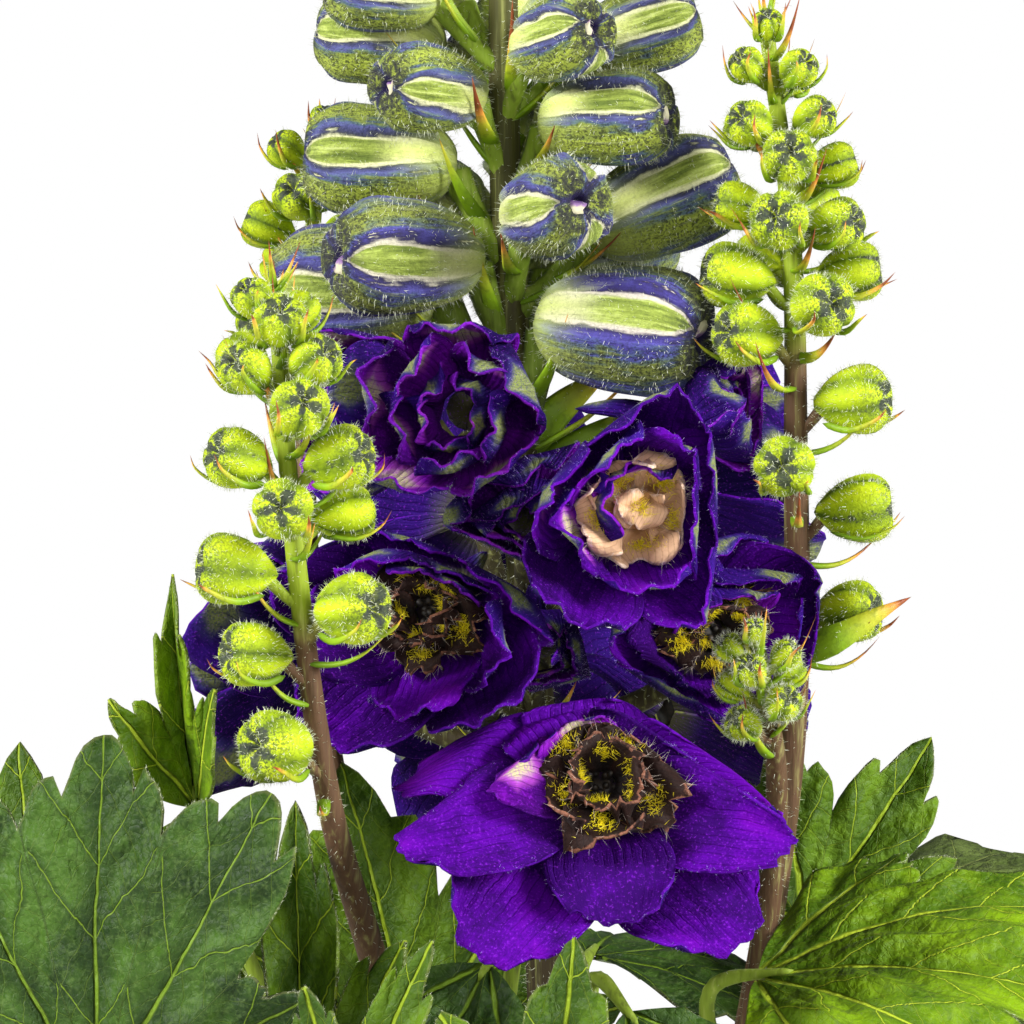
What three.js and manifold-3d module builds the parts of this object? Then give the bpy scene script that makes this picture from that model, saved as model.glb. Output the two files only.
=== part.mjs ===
// A garden delphinium in flower, growing in a plain plastic pot.
//
// One tall spike stands in the middle: open purple flowers below, hairy striped buds above.
// Four slim side spikes of small green buds stand round it, and palm-shaped leaves rise from the crown.
// Millimetres. The origin is the centre of the pot's underside, +Z is up and -Y is the front.
// An azimuth is in degrees round the plant: 0 is the front and 90 is +X.

import * as THREE from "three";
import { mergeVertices } from "three/addons/utils/BufferGeometryUtils.js";
import Module from "manifold-3d";

const wasm = await Module();
wasm.setup();

// ---------------------------------------------------------------- driving dimensions

const GAP = 0.3; // between pieces that touch
const POT_HEIGHT = 128;
const POT_FOOT_RADIUS = 52;
const POT_BODY_RADIUS = 66; // just below the collar
const POT_COLLAR_RADIUS = 72;
const POT_COLLAR_HEIGHT = 22;
const POT_WALL = 2;
const POT_SIDES = 28;
const DRAIN_HOLES = 6;
const DRAIN_RADIUS = 4;
const SOIL_TOP = 117;
const ROOT_DEPTH = 10; // how far stems and leaf stalks stand in the soil

const BLADE = 0.7; // leaf thickness
const PETAL = 0.7; // petal thickness
const FINEST = 0.2; // the smallest detail that a joint between stalks keeps
const BUD_WALL = 0.37; // how far from a bud's middle flowers stop, for its length
const CROWDING = 3; // how far before a neighbour a petal starts to bend
const CUP = 0.1; // how far the sides of a petal rise, for its width
const TWIST = 0.12;
const STALK = 1.4; // half the thickness of a leaf stalk
const FLOWER_STALK = [1.8, 1.4]; // radii at the stem and at the flower
const BUD_WIDTH = 0.68; // of a big bud's length
const BRACT = 1.1; // radius at its foot

const SLATE = 0x2f3033;
const PEAT = 0x33231a;
const STEM_GREEN = 0x6b7a2c;
const BUD_GREEN = 0x8fae2c;
const PURPLE = 0x3f0a9c;
const BROWN = 0x33231c;
const LEAF_GREEN = 0x2f6b23;

// The main stem and the side stems, as points from the soil up.
const MAIN_STEM = {
  name: "main_spike",
  path: [
    [7, 4, SOIL_TOP], [7, 3, 140], [5, 0, 190], [2, 0, 240],
    [-1, 0, 300], [-1, 0, 370], [-2, 0, 424],
  ],
  radii: [4.2, 1.1],
};

// Buds on a side spike are [azimuth, height, reach to the middle, width]. leafy is where the large bract that
// one of them has starts and where it ends, and leafyWidth is across it.
const SIDE_STEMS = [
  {
    name: "side_spike_left",
    path: [
      [-6, -8, SOIL_TOP], [-9, -14, 140], [-18, -28, 188],
      [-24, -42, 213], [-28, -48, 244], [-31, -48, 283],
    ],
    radii: [2.6, 1],
    buds: [
      [-34, 280, 4.6, 5], [6, 277, 5, 6.4], [-40, 271, 6, 6.4], [44, 272, 6.2, 6.4],
      [18, 266, 6.6, 7.2], [-55, 259.5, 7, 7.6], [62, 259.5, 7.4, 8], [-5, 253, 6.8, 7.4],
      [-75, 245, 8, 8.8], [52, 240, 8, 8.8], [-62, 234, 7, 8], [-38, 222, 7.8, 9],
      [150, 278, 5, 5.4], [-130, 272, 6, 6.4], [170, 265, 6.6, 7], [110, 252, 7, 7],
    ],
  },
  {
    name: "side_spike_right",
    path: [
      [21, 0, SOIL_TOP], [28, -2, 150], [38.5, -8, 215],
      [39, -12, 262], [38.2, -12, 290], [34.6, -11, 319],
    ],
    radii: [2.6, 1],
    buds: [
      [0, 317, 3.4, 4], [40, 311, 4.8, 5], [-45, 311.5, 4.6, 4.6], [50, 304.5, 5.6, 5.4],
      [-42, 303.5, 5.8, 6], [3, 299, 6.2, 7], [86, 298, 6.4, 6.2], [-85, 292.5, 6.6, 6.4],
      [-14, 290.5, 6.8, 7.6], [55, 290, 6.8, 7], [-80, 283, 7.8, 8.6], [84, 283.5, 7.6, 7.8],
      [24, 279, 7.2, 8.2], [-55, 275, 7.6, 8.4], [70, 266, 8, 9], [-14, 257, 7, 7.8],
      [88, 251, 8, 9], [60, 237, 7.6, 8], [150, 310, 4.6, 5], [-130, 303, 5.4, 5.6],
      [150, 293, 6.4, 7], [-150, 285, 7, 7.6],
    ],
    leafy: [[39, -12, 233], [54, -18, 239]],
    leafyWidth: 5.6,
  },
  {
    name: "side_spike_back",
    path: [
      [-6, 17, SOIL_TOP], [-16, 32, 160], [-29, 44, 225],
      [-30.5, 41, 270], [-28, 38, 306],
    ],
    radii: [2.4, 1],
    buds: [
      [10, 305, 3.6, 4.4], [-60, 301, 5, 5.2], [70, 298, 5.6, 6], [-20, 294, 6, 6.6],
      [-90, 290, 6.4, 6.8], [45, 286, 6.8, 7.2], [170, 299, 5, 6], [140, 288, 6.4, 7],
      [-150, 284, 6.8, 7.2], [-50, 276, 7, 7.6],
    ],
  },
  {
    name: "side_spike_short",
    path: [
      [22, -14, SOIL_TOP], [30, -14, 160], [35, -16, 195],
      [36, -21, 214], [34, -30, 227], [32, -35, 237],
    ],
    radii: [2.2, 1],
    buds: [
      [0, 236, 2.6, 3], [-70, 233.5, 3.6, 3.6], [60, 232.5, 3.8, 3.8], [-20, 230.5, 4, 4.2],
      [110, 230, 3.8, 4], [-100, 228, 4, 4.2], [25, 226, 4.4, 4.6], [-50, 223, 4.4, 4.6],
    ],
  },
];

// A whorl of petals is [length, angle at the base, angle at the tip].
// The angles are in degrees up from the flower's face: 0 lies flat, 90 stands out and more than 90 leans in.
// wide is a petal's width for its length, and oval is how much longer the petals at the sides are.
const FORMS = {
  flat: { sepals: [28.5, 36, -6], petals: [25, 44, 2], eye: 8.4, wide: 0.7, oval: 0.2 },
  cupped: { sepals: [26, 40, 26], petals: [20, 50, 38], eye: 6.4, wide: 0.8, oval: 0 },
  bowl: { sepals: [26, 34, 46], petals: [20, 44, 58], eye: 6.4, wide: 0.8, oval: 0 },
  half: { sepals: [22.5, 34, 66], petals: [17, 46, 78], eye: 5.4, wide: 0.84, oval: 0 },
  opening: { sepals: [18.5, 16, 104], petals: [13.5, 28, 112], eye: 0, wide: 0.86, oval: 0 },
  tight: { sepals: [14.5, 40, 100], petals: [11, 46, 104], eye: 0, wide: 0.86, oval: 0 },
};

// Open flowers. reach is from the stem's middle to the flower's base and lift is how far it faces up.
const BLOOMS = [
  { name: "bloom_front_low", form: "flat", azimuth: 12, height: 212, reach: 33, lift: 24, turn: -4 },
  { name: "bloom_left", form: "bowl", azimuth: -24, height: 237.5, reach: 25, lift: 6, turn: 6 },
  { name: "bloom_right", form: "bowl", azimuth: 57, height: 234, reach: 25, lift: 6, turn: -34 },
  { name: "bloom_centre", form: "half", azimuth: 27, height: 251.5, reach: 29, lift: 4, turn: -16 },
  { name: "bloom_top", form: "opening", azimuth: -20, height: 264, reach: 19, lift: 4, turn: 8 },
  { name: "bloom_top_left", form: "opening", azimuth: -70, height: 264.5, reach: 14, lift: -4, turn: 0 },
  { name: "bloom_top_right", form: "tight", azimuth: 68, height: 262, reach: 25, lift: 24, turn: 0 },
  { name: "bloom_back_right", form: "half", azimuth: 124, height: 254, reach: 23, lift: 8, turn: -14 },
  { name: "bloom_back_left", form: "cupped", azimuth: -104, height: 230, reach: 26, lift: 6, turn: 0 },
  { name: "bloom_side_right", form: "half", azimuth: 122, height: 222, reach: 20, lift: 4, turn: -10 },
  { name: "bloom_back_low", form: "cupped", azimuth: 186, height: 216, reach: 27, lift: 6, turn: 0 },
  { name: "bloom_back", form: "cupped", azimuth: -166, height: 249, reach: 22, lift: 8, turn: 0 },
  { name: "bloom_middle", form: "opening", azimuth: 2, height: 249, reach: 12, lift: 4, turn: 0 },
  { name: "bloom_under", form: "tight", azimuth: 4, height: 232, reach: 13, lift: 0, turn: 0 },
];

// Big buds of the main spike: [azimuth, height, reach to the middle, length, pitch].
const BIG_BUDS = [
  [62, 275.5, 17.5, 25, -5], [-62, 285.5, 16, 22, 0], [-103, 281, 22, 24, 0], [24, 292, 15, 19, 8],
  [98, 293, 22, 22, 24], [-92, 299, 17.5, 21, 4], [66, 304.5, 15.5, 19, 2], [-48, 308.5, 13.5, 17, 4],
  [-108, 316, 18, 18, 8], [36, 315.5, 13, 16.5, 10], [97, 317, 19, 17, 18], [-80, 322.5, 17, 16, 8],
  [170, 281, 18, 24, 2], [132, 286, 18, 22, 10], [-142, 292, 18, 22, 6], [165, 301, 17, 20, 8],
  [-166, 311, 16, 18, 8], [128, 306, 16, 18, 12], [-130, 323, 15, 16, 12], [172, 320, 14, 16, 14],
];
const TIP_BUDS = 16; // the smaller buds above, by the golden angle
const TIP_FROM = 329;
const TIP_TO = 418;
const GOLDEN_ANGLE = 137.5;

// The lobes of a leaf: angles from the middle vein, lengths, bays between them and half the angle of a lobe.
// The lengths are shares of the whole leaf's. tooth is the length to a lobe's side teeth, as a share of it.
const LEAF_KINDS = {
  broad: {
    lobes: [0, 31, 64, 98],
    tips: [1, 0.98, 0.86, 0.66],
    bays: [0.74, 0.66, 0.5, 0.34],
    half: 15.5,
    tooth: 0.8,
  },
  hand: { lobes: [0, 29, 60], tips: [1, 1, 0.66], bays: [0.78, 0.54, 0.34], half: 15, tooth: 0.91 },
  cut: { lobes: [0, 46, 92], tips: [1, 0.92, 0.72], bays: [0.5, 0.44, 0.3], half: 23, tooth: 0.8 },
  narrow: { lobes: [0, 36], tips: [1, 0.78], bays: [0.4, 0.3], half: 15, tooth: 0.8 },
};

// base is where the blade starts, tip is where its middle lobe ends and face is the way its upper side looks.
// curl is how far the blade bends over and fold how far its halves fold up, in degrees. root is where its
// stalk stands in the soil.
const LEAVES = [
  { name: "leaf_left_front", kind: "hand", curl: 20, fold: 8, root: [-26, -22],
    base: [-54, -50, 174], tip: [-55, -58, 223], face: [-0.2, -1, 0.2] },
  { name: "leaf_left_inner", kind: "narrow", curl: 25, fold: 40, root: [-15, -31],
    base: [-27, -42, 170], tip: [-29.5, -48, 214], face: [-0.1, -1, 0.2] },
  { name: "leaf_left_upright", kind: "narrow", curl: 30, fold: 60, root: [-22, -8],
    base: [-43, -18, 210], tip: [-48, -29, 241], face: [-0.25, -1, 0.1] },
  { name: "leaf_left_far", kind: "cut", curl: 25, fold: 10, root: [-38, 2],
    base: [-65, 2, 179], tip: [-72, -2, 217], face: [-0.3, -0.9, 0.3] },
  { name: "leaf_left_low", kind: "narrow", curl: 30, fold: 20, root: [-12, -24],
    base: [-21, -56, 172], tip: [-13, -68, 197], face: [-0.1, -0.9, 0.4] },
  { name: "leaf_under_left", kind: "narrow", curl: 30, fold: 20, root: [-4, -22],
    base: [-3, -38, 192], tip: [-16, -54, 172], face: [-0.1, -0.7, 0.7] },
  { name: "leaf_under_right", kind: "narrow", curl: 30, fold: 20, root: [10, -26],
    base: [15, -41, 186], tip: [30, -57, 170], face: [0.3, -0.7, 0.7] },
  { name: "leaf_right_front", kind: "hand", curl: 40, fold: 10, root: [32, -18],
    base: [33, -25, 188], tip: [76, -44, 200], face: [0.1, -0.5, 0.86] },
  { name: "leaf_right_upper", kind: "cut", curl: 30, fold: 20, root: [36, 8],
    base: [41, 0, 192], tip: [60, -4, 218], face: [0.3, -0.9, 0.3] },
  { name: "leaf_right_far", kind: "broad", curl: 50, fold: 0, root: [38, 28],
    base: [57, 50, 184], tip: [101, 66, 205], face: [0, -0.35, 0.94] },
  { name: "leaf_middle", kind: "cut", curl: 20, fold: 10, root: [-12, 8],
    base: [-14, 12, 172], tip: [-24, 14, 214], face: [0.1, -1, 0.1] },
  { name: "leaf_front", kind: "cut", curl: 30, fold: 20, root: [4, -42],
    base: [5.5, -62, 172], tip: [7.5, -73, 197], face: [0, -0.9, 0.4] },
  { name: "leaf_back_left", kind: "broad", curl: 50, fold: 0, root: [-24, 30],
    base: [-42, 56, 180], tip: [-68, 90, 194], face: [0.2, -0.2, 0.94] },
  { name: "leaf_back", kind: "cut", curl: 50, fold: 0, root: [10, 36],
    base: [12, 66, 178], tip: [22, 112, 188], face: [0, -0.2, 0.97] },
  { name: "leaf_low_front", kind: "broad", curl: 55, fold: 0, root: [26, -38],
    base: [34, -66, 150], tip: [50, -108, 146], face: [0, -0.2, 0.97] },
  { name: "leaf_low_right", kind: "cut", curl: 55, fold: 0, root: [50, -2],
    base: [76, -2, 150], tip: [120, -6, 146], face: [0.2, 0, 0.97] },
  { name: "leaf_low_back", kind: "broad", curl: 55, fold: 0, root: [24, 46],
    base: [38, 68, 148], tip: [60, 110, 144], face: [0, 0.2, 0.97] },
  { name: "leaf_low_left", kind: "cut", curl: 55, fold: 0, root: [-44, 24],
    base: [-70, 38, 150], tip: [-112, 58, 146], face: [0, 0.2, 0.97] },
  { name: "leaf_low_side", kind: "broad", curl: 55, fold: 0, root: [-44, -22],
    base: [-66, -34, 146], tip: [-106, -56, 144], face: [-0.2, 0, 0.97] },
];

// ---------------------------------------------------------------- small helpers

const rad = THREE.MathUtils.degToRad;
const mix = THREE.MathUtils.lerp;
const vec = (p) => new THREE.Vector3(...p);

function outward(azimuth, pitch = 0) {
  const up = new THREE.Vector3(0, 0, 1);
  const flat = new THREE.Vector3(Math.sin(rad(azimuth)), -Math.cos(rad(azimuth)), 0);
  return flat.multiplyScalar(Math.cos(rad(pitch))).addScaledVector(up, Math.sin(rad(pitch)));
}

// A fixed draw from -1 to 1 for each pair of numbers, so that every copy differs and every run is alike.
function draw(seed, which) {
  const s = Math.sin(seed * 12.9898 + which * 78.233) * 43758.5453;
  return (s - Math.floor(s)) * 2 - 1;
}

// Position-only geometry with shared corners welded and collapsed triangles dropped.
function weld(geometry) {
  const bare = new THREE.BufferGeometry().setAttribute("position", geometry.getAttribute("position"));
  bare.setIndex(geometry.getIndex());
  const welded = mergeVertices(bare, 1e-3);
  const corners = welded.index.array;
  const kept = [];
  for (let i = 0; i < corners.length; i += 3) {
    const [a, b, c] = corners.subarray(i, i + 3);
    if (a !== b && b !== c && c !== a) kept.push(a, b, c);
  }
  return welded.setIndex(kept);
}

function solidOf(geometry) {
  const welded = weld(geometry);
  const vertProperties = new Float32Array(welded.attributes.position.array);
  const triVerts = new Uint32Array(welded.index.array);
  return new wasm.Manifold(new wasm.Mesh({ numProp: 3, vertProperties, triVerts }));
}

// The largest body of a solid, with what a cut left loose dropped and what a join sealed filled.
function mainBody(solid) {
  return solid.decompose().sort((a, b) => b.volume() - a.volume())[0];
}

const join = (solids) => mainBody(wasm.Manifold.union(solids)).asOriginal().simplify(FINEST);

function meshOf(name, solid, color, roughness = 0.7) {
  const { numProp, vertProperties, triVerts } = solid.getMesh();
  const positions = new Float32Array((vertProperties.length / numProp) * 3);
  for (let i = 0; i * numProp < vertProperties.length; i++) {
    positions.set(vertProperties.subarray(i * numProp, i * numProp + 3), i * 3);
  }
  const geometry = new THREE.BufferGeometry();
  geometry.setAttribute("position", new THREE.BufferAttribute(positions, 3));
  geometry.setIndex(new THREE.BufferAttribute(new Uint32Array(triVerts), 1));
  geometry.computeVertexNormals();
  const material = new THREE.MeshStandardMaterial({ color, roughness, metalness: 0 });
  const mesh = new THREE.Mesh(geometry, material);
  mesh.name = name;
  return mesh;
}

function lathe(profile, segments) {
  const points = profile.map(([radius, height]) => new THREE.Vector2(radius, height));
  return new THREE.LatheGeometry(points, segments).rotateX(Math.PI / 2);
}

const vecAt = (attribute, i) => new THREE.Vector3().fromBufferAttribute(attribute, i);

// Moves each vertex of a geometry to place(vertex).
function reshape(geometry, place) {
  const at = geometry.getAttribute("position");
  for (let i = 0; i < at.count; i++) {
    const p = place(vecAt(at, i));
    at.setXYZ(i, p.x, p.y, p.z);
  }
  return geometry;
}

// A round stalk through points, thinning from radii[0] to radii[1]. side is a direction that it never takes.
function stalk(points, side, radii, sides) {
  const last = points.length - 1;
  return solidOf(
    reshape(new THREE.CylinderGeometry(1, 1, 1, sides, last), ({ x, y, z }) => {
      const i = Math.round((y + 0.5) * last);
      const before = points[Math.max(i - 1, 0)];
      const along = points[Math.min(i + 1, last)].clone().sub(before).normalize();
      const across = side.clone().addScaledVector(along, -side.dot(along)).normalize();
      const up = new THREE.Vector3().crossVectors(across, along);
      const radius = mix(radii[0], radii[1], i / last);
      return points[i].clone().addScaledVector(across, x * radius).addScaledVector(up, z * radius);
    }),
  );
}

// Points of a stalk that stands in the soil at root and then follows the curve through bends.
function rooted([x, y], bends, steps) {
  const curve = new THREE.CatmullRomCurve3([new THREE.Vector3(x, y, SOIL_TOP + 1), ...bends]);
  return [new THREE.Vector3(x, y, SOIL_TOP + GAP - ROOT_DEPTH), ...curve.getSpacedPoints(steps)];
}

// The two skins of a thin sheet and the strip round its edge. points and triangles give its middle surface.
// An edge between two points of inner is left open, for another surface to join there.
function skins(points, triangles, thickness, inner = 0) {
  const middle = new THREE.BufferGeometry().setFromPoints(points).setIndex(triangles.flat());
  middle.computeVertexNormals();
  const { normal } = middle.attributes;
  const shifted = (half) => points.map((p, i) => p.clone().addScaledVector(vecAt(normal, i), half));
  const under = points.length;
  const faces = [...triangles, ...triangles.map(([a, b, c]) => [a + under, c + under, b + under])];
  const edges = new Set(triangles.flatMap(([a, b, c]) => [`${a},${b}`, `${b},${c}`, `${c},${a}`]));
  for (const edge of edges) {
    const [p, q] = edge.split(",").map(Number);
    if (edges.has(`${q},${p}`) || (p < inner && q < inner)) continue;
    faces.push([q, p, p + under], [q, p + under, q + under]);
  }
  return { points: [...shifted(thickness / 2), ...shifted(-thickness / 2)], faces, under };
}

function solidFrom(points, faces) {
  return solidOf(new THREE.BufferGeometry().setFromPoints(points).setIndex(faces.flat()));
}

// ---------------------------------------------------------------- pot and soil

// A tapered pot of thin plastic with a collar, and drain holes round its floor.
function makePot() {
  const collarFoot = POT_HEIGHT - POT_COLLAR_HEIGHT;
  const profile = [
    [0, 0], [POT_FOOT_RADIUS, 0], [POT_BODY_RADIUS, collarFoot], [POT_COLLAR_RADIUS - 1, collarFoot],
    [POT_COLLAR_RADIUS, POT_HEIGHT - 2.4], [POT_COLLAR_RADIUS + 1.2, POT_HEIGHT - 2.2],
    [POT_COLLAR_RADIUS + 1.2, POT_HEIGHT], [POT_COLLAR_RADIUS - POT_WALL, POT_HEIGHT],
    [POT_BODY_RADIUS - POT_WALL, collarFoot - 2], [POT_FOOT_RADIUS - POT_WALL, POT_WALL], [0, POT_WALL],
  ];
  const drills = Array.from({ length: DRAIN_HOLES }, (_, i) => {
    const at = outward((i * 360) / DRAIN_HOLES).multiplyScalar(POT_FOOT_RADIUS * 0.7);
    const drill = new THREE.CylinderGeometry(DRAIN_RADIUS, DRAIN_RADIUS, 3 * POT_WALL, 8);
    return solidOf(drill.rotateX(Math.PI / 2).translate(at.x, at.y, 0));
  });
  return solidOf(lathe(profile, POT_SIDES)).subtract(wasm.Manifold.union(drills));
}

// Peat that fills the pot to below its rim, with a hole for each stem and leaf stalk.
function makeSoil(holes) {
  const collarFoot = POT_HEIGHT - POT_COLLAR_HEIGHT;
  const inside = POT_WALL + GAP;
  const profile = [
    [0, inside], [POT_FOOT_RADIUS - inside, inside], [POT_BODY_RADIUS - inside, collarFoot - 2],
    [POT_COLLAR_RADIUS - 3.4 - inside, SOIL_TOP], [0, SOIL_TOP],
  ];
  const drills = holes.map(({ x, y, radius }) => {
    const drill = new THREE.CylinderGeometry(radius + 2 * GAP, radius + 2 * GAP, 2 * ROOT_DEPTH, 6);
    return solidOf(drill.rotateX(Math.PI / 2).translate(x, y, SOIL_TOP));
  });
  return solidOf(lathe(profile, POT_SIDES)).subtract(wasm.Manifold.union(drills));
}

// ---------------------------------------------------------------- stems and buds

const stemCurve = ({ path }) => new THREE.CatmullRomCurve3(path.map(vec));

// The point of a stem at a height.
function stemAt(curve, height) {
  let [low, high] = [0, 1];
  for (let i = 0; i < 24; i++) {
    const middle = (low + high) / 2;
    if (curve.getPoint(middle).z < height) low = middle;
    else high = middle;
  }
  return curve.getPoint(low);
}

function makeStem({ path, radii }, sides, steps) {
  const [root, ...bends] = path.map(vec);
  return stalk(rooted([root.x, root.y], bends, steps), new THREE.Vector3(0.7, 0.7, 0), radii, sides);
}

// Rings of a bud from its dimpled tip to its neck, as shares of half its length and half its width.
const BUD_RINGS = [[0.82, 0], [1, 0.4], [0.5, 0.96], [-0.42, 1], [-1, 0.25]];
const SMALL_BUD_RINGS = [[0.9, 0], [0.62, 0.74], [-0.4, 1], [-1, 0.3]];

// A bud, drawn out at its neck into a stalk that starts at start. One of ten sides has five bulging sepals.
function bud(start, middle, facing, length, width, sides, profile) {
  const across = new THREE.Vector3(0, 0, 1).cross(facing).normalize();
  const up = new THREE.Vector3().crossVectors(facing, across);
  const rings = profile.length;
  return solidOf(
    reshape(new THREE.SphereGeometry(1, sides, rings), ({ x, y, z }) => {
      const ring = Math.round((Math.acos(y) / Math.PI) * rings);
      if (ring === rings) return start.clone();
      const [along, wide] = profile[ring];
      const angle = Math.atan2(z, x);
      const bulge = sides === 10 ? 0.07 * Math.cos(5 * angle) : 0;
      const round = ((wide * width) / 2) * (1 + bulge);
      return middle
        .clone()
        .addScaledVector(facing, (along * length) / 2)
        .addScaledVector(across, round * Math.sin(angle))
        .addScaledVector(up, round * Math.cos(angle));
    }),
  );
}

// A narrow pointed bract.
function bract(start, facing, length, radius) {
  const cone = new THREE.ConeGeometry(radius, length, 3).translate(0, length / 2 - 0.5, 0);
  cone.applyQuaternion(new THREE.Quaternion().setFromUnitVectors(new THREE.Vector3(0, 1, 0), facing));
  return solidOf(cone.translate(start.x, start.y, start.z));
}

// Where an open flower stands: its base and the way it faces.
function bloomPlace(bloom) {
  const axis = stemAt(stemCurve(MAIN_STEM), bloom.height);
  const base = axis.addScaledVector(outward(bloom.azimuth), bloom.reach);
  const facing = outward(bloom.azimuth + bloom.turn, bloom.lift);
  return { base, facing };
}

// The flower's own axes: z is the way it faces and y points up.
function flowerMatrix({ base, facing }) {
  const side = new THREE.Vector3(0, 0, 1).cross(facing).normalize();
  const up = new THREE.Vector3().crossVectors(facing, side);
  return new THREE.Matrix4().makeBasis(side, up, facing).setPosition(base);
}

const SPOKES = 10; // two to each petal: its middle and the corner that it shares with the next
const spokeAt = (spoke) => rad(18 + spoke * 36);

function ringOf(radius, height, y = 0) {
  return Array.from({ length: SPOKES }, (_, spoke) => {
    const angle = spokeAt(spoke);
    return new THREE.Vector3(radius * Math.cos(angle), y + radius * Math.sin(angle), height);
  });
}

// A flower's foot in its own axes: the spur's tip, the ring where it narrows and the ring at its root.
function footOf(bloom) {
  const spur = Math.min(14, bloom.reach - 6);
  return [new THREE.Vector3(0, 9, -spur), ringOf(1.6, -0.45 * spur, 6), ringOf(2.9, 0.6, 0)];
}

// Where the flower's stalk ends, square to the underside of its foot, and a point behind that.
function stalkSeat(bloom) {
  const lowest = (ring) => ring.reduce((a, b) => (b.y < a.y ? b : a));
  const [, narrow, root] = footOf(bloom);
  const from = lowest(root);
  const along = lowest(narrow).clone().sub(from).normalize();
  const away = new THREE.Vector3(0, along.z, -along.y);
  const end = from.clone().addScaledVector(along, 1.8).addScaledVector(away, GAP);
  return [end, end.clone().addScaledVector(away, 6)];
}

// The main spike: stem, flower stalks, big buds and the smaller ones at its tip.
function makeMainSpike() {
  const curve = stemCurve(MAIN_STEM);
  const parts = [makeStem(MAIN_STEM, 8, 9)];
  for (const bloom of BLOOMS) {
    const frame = flowerMatrix(bloomPlace(bloom));
    const start = stemAt(curve, bloom.height - 8 - bloom.reach / 3);
    const [end, corner] = stalkSeat(bloom).map((point) => point.applyMatrix4(frame));
    parts.push(stalk([start, corner, end], outward(bloom.azimuth + 90), FLOWER_STALK, 4));
  }
  const buds = BIG_BUDS.map(([azimuth, ...rest]) => {
    const seen = Math.abs(azimuth) < 110;
    return { azimuth, rest, sides: seen ? 10 : 8, profile: seen ? BUD_RINGS : SMALL_BUD_RINGS };
  });
  for (let i = 0; i < TIP_BUDS; i++) {
    const t = (i + 0.5) / TIP_BUDS;
    const height = mix(TIP_FROM, TIP_TO, t ** 0.9);
    const rest = [height, mix(13, 2.2, t), mix(15.5, 4, t), mix(14, 62, t)];
    buds.push({ azimuth: 20 + i * GOLDEN_ANGLE, rest, sides: 6, profile: SMALL_BUD_RINGS });
  }
  for (const { azimuth, rest: [height, reach, length, pitch], sides, profile } of buds) {
    const facing = outward(azimuth, pitch);
    const middle = stemAt(curve, height).addScaledVector(outward(azimuth), reach);
    const start = stemAt(curve, height - 0.7 * length);
    parts.push(bud(start, middle, facing, length, length * BUD_WIDTH, sides, profile));
    if (length > 16) parts.push(bract(start, outward(azimuth - 30, 50), 5 + length / 2, BRACT + 0.2));
  }
  return join(parts);
}

// A side spike of small round buds, with a bract below each of the larger ones.
function makeSideSpike(stem) {
  const curve = stemCurve(stem);
  const parts = [makeStem(stem, 6, 7)];
  const top = stem.path.at(-1)[2];
  for (const [azimuth, height, reach, width] of stem.buds) {
    const t = Math.max(0, 1 - (top - height) / 60);
    const facing = outward(azimuth, mix(5, 50, t ** 3));
    const middle = stemAt(curve, height).addScaledVector(outward(azimuth), reach);
    const start = stemAt(curve, height - 0.55 * width);
    parts.push(bud(start, middle, facing, width * 1.15, width, 6, SMALL_BUD_RINGS));
    if (width < 6) continue;
    start.z -= 2.5;
    parts.push(bract(start, outward(azimuth + 22, mix(0, 50, t)), mix(15, 10, t), BRACT));
  }
  if (stem.leafy) {
    const [start, end] = stem.leafy.map(vec);
    const length = end.distanceTo(start);
    const facing = end.clone().sub(start).normalize();
    parts.push(bract(start, facing, length, stem.leafyWidth / 2));
  }
  return join(parts);
}

// ---------------------------------------------------------------- flowers

const LEAN = 0.5; // how far an upper flower lies out over a lower one
const SIDEWAYS = 0.5; // how much less flowers give way sideways than up and down

const heartOf = (bloom) => {
  const { base, facing } = bloomPlace(bloom);
  return base.addScaledVector(facing, FORMS[bloom.form].sepals[0] * 0.3);
};

// The walls that stop a flower's petals. One stands before each bud and side stem beside it, and one between
// it and each neighbour. The walls between flowers lean, so that an upper flower lies over a lower one.
function wallsOf(bloom) {
  const heart = heartOf(bloom);
  const size = FORMS[bloom.form].sepals[0];
  const walls = [];
  for (const other of BLOOMS) {
    const away = heartOf(other).sub(heart);
    if (other === bloom || away.length() > 62) continue;
    const at = heart.clone().addScaledVector(away, size / (size + FORMS[other.form].sepals[0]));
    const between = outward(bloom.azimuth).add(outward(other.azimuth));
    away.multiply(new THREE.Vector3(SIDEWAYS, SIDEWAYS, 1));
    if (between.length() > 1) away.addScaledVector(between.normalize(), LEAN * away.z);
    away.normalize();
    walls.push({ at: at.addScaledVector(away, -PETAL / 2 - GAP), away });
  }
  const curve = stemCurve(MAIN_STEM);
  const round = BIG_BUDS.map(([azimuth, height, reach, length]) => ({
    at: stemAt(curve, height).addScaledVector(outward(azimuth), reach),
    radius: length * BUD_WALL,
  }));
  for (const stem of SIDE_STEMS) {
    const side = stemCurve(stem);
    round.push({ at: stemAt(side, heart.z), radius: 3 });
    for (const [azimuth, height, reach, width] of stem.buds) {
      const at = stemAt(side, height).addScaledVector(outward(azimuth), reach);
      round.push({ at, radius: width / 2 });
    }
  }
  for (const { at, radius } of round) {
    const away = at.clone().sub(heart);
    const clear = away.length() - radius - PETAL / 2 - GAP;
    if (clear > 36) continue;
    away.normalize();
    walls.push({ at: heart.clone().addScaledVector(away, clear), away });
  }
  return walls;
}

// Bends a point back from the walls that it comes near. inset holds inner petals off outer ones.
function keepInside(point, walls, inset) {
  for (const { at, away } of [...walls, ...walls]) {
    const past = point.clone().sub(at).dot(away) + inset;
    if (past < -CROWDING) continue;
    const kept = -CROWDING * Math.exp(-(past + CROWDING) / CROWDING);
    point.addScaledVector(away, kept - past);
  }
  return point;
}

const WIDEST = 0.52; // where a petal is widest, as a share of its length

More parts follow.
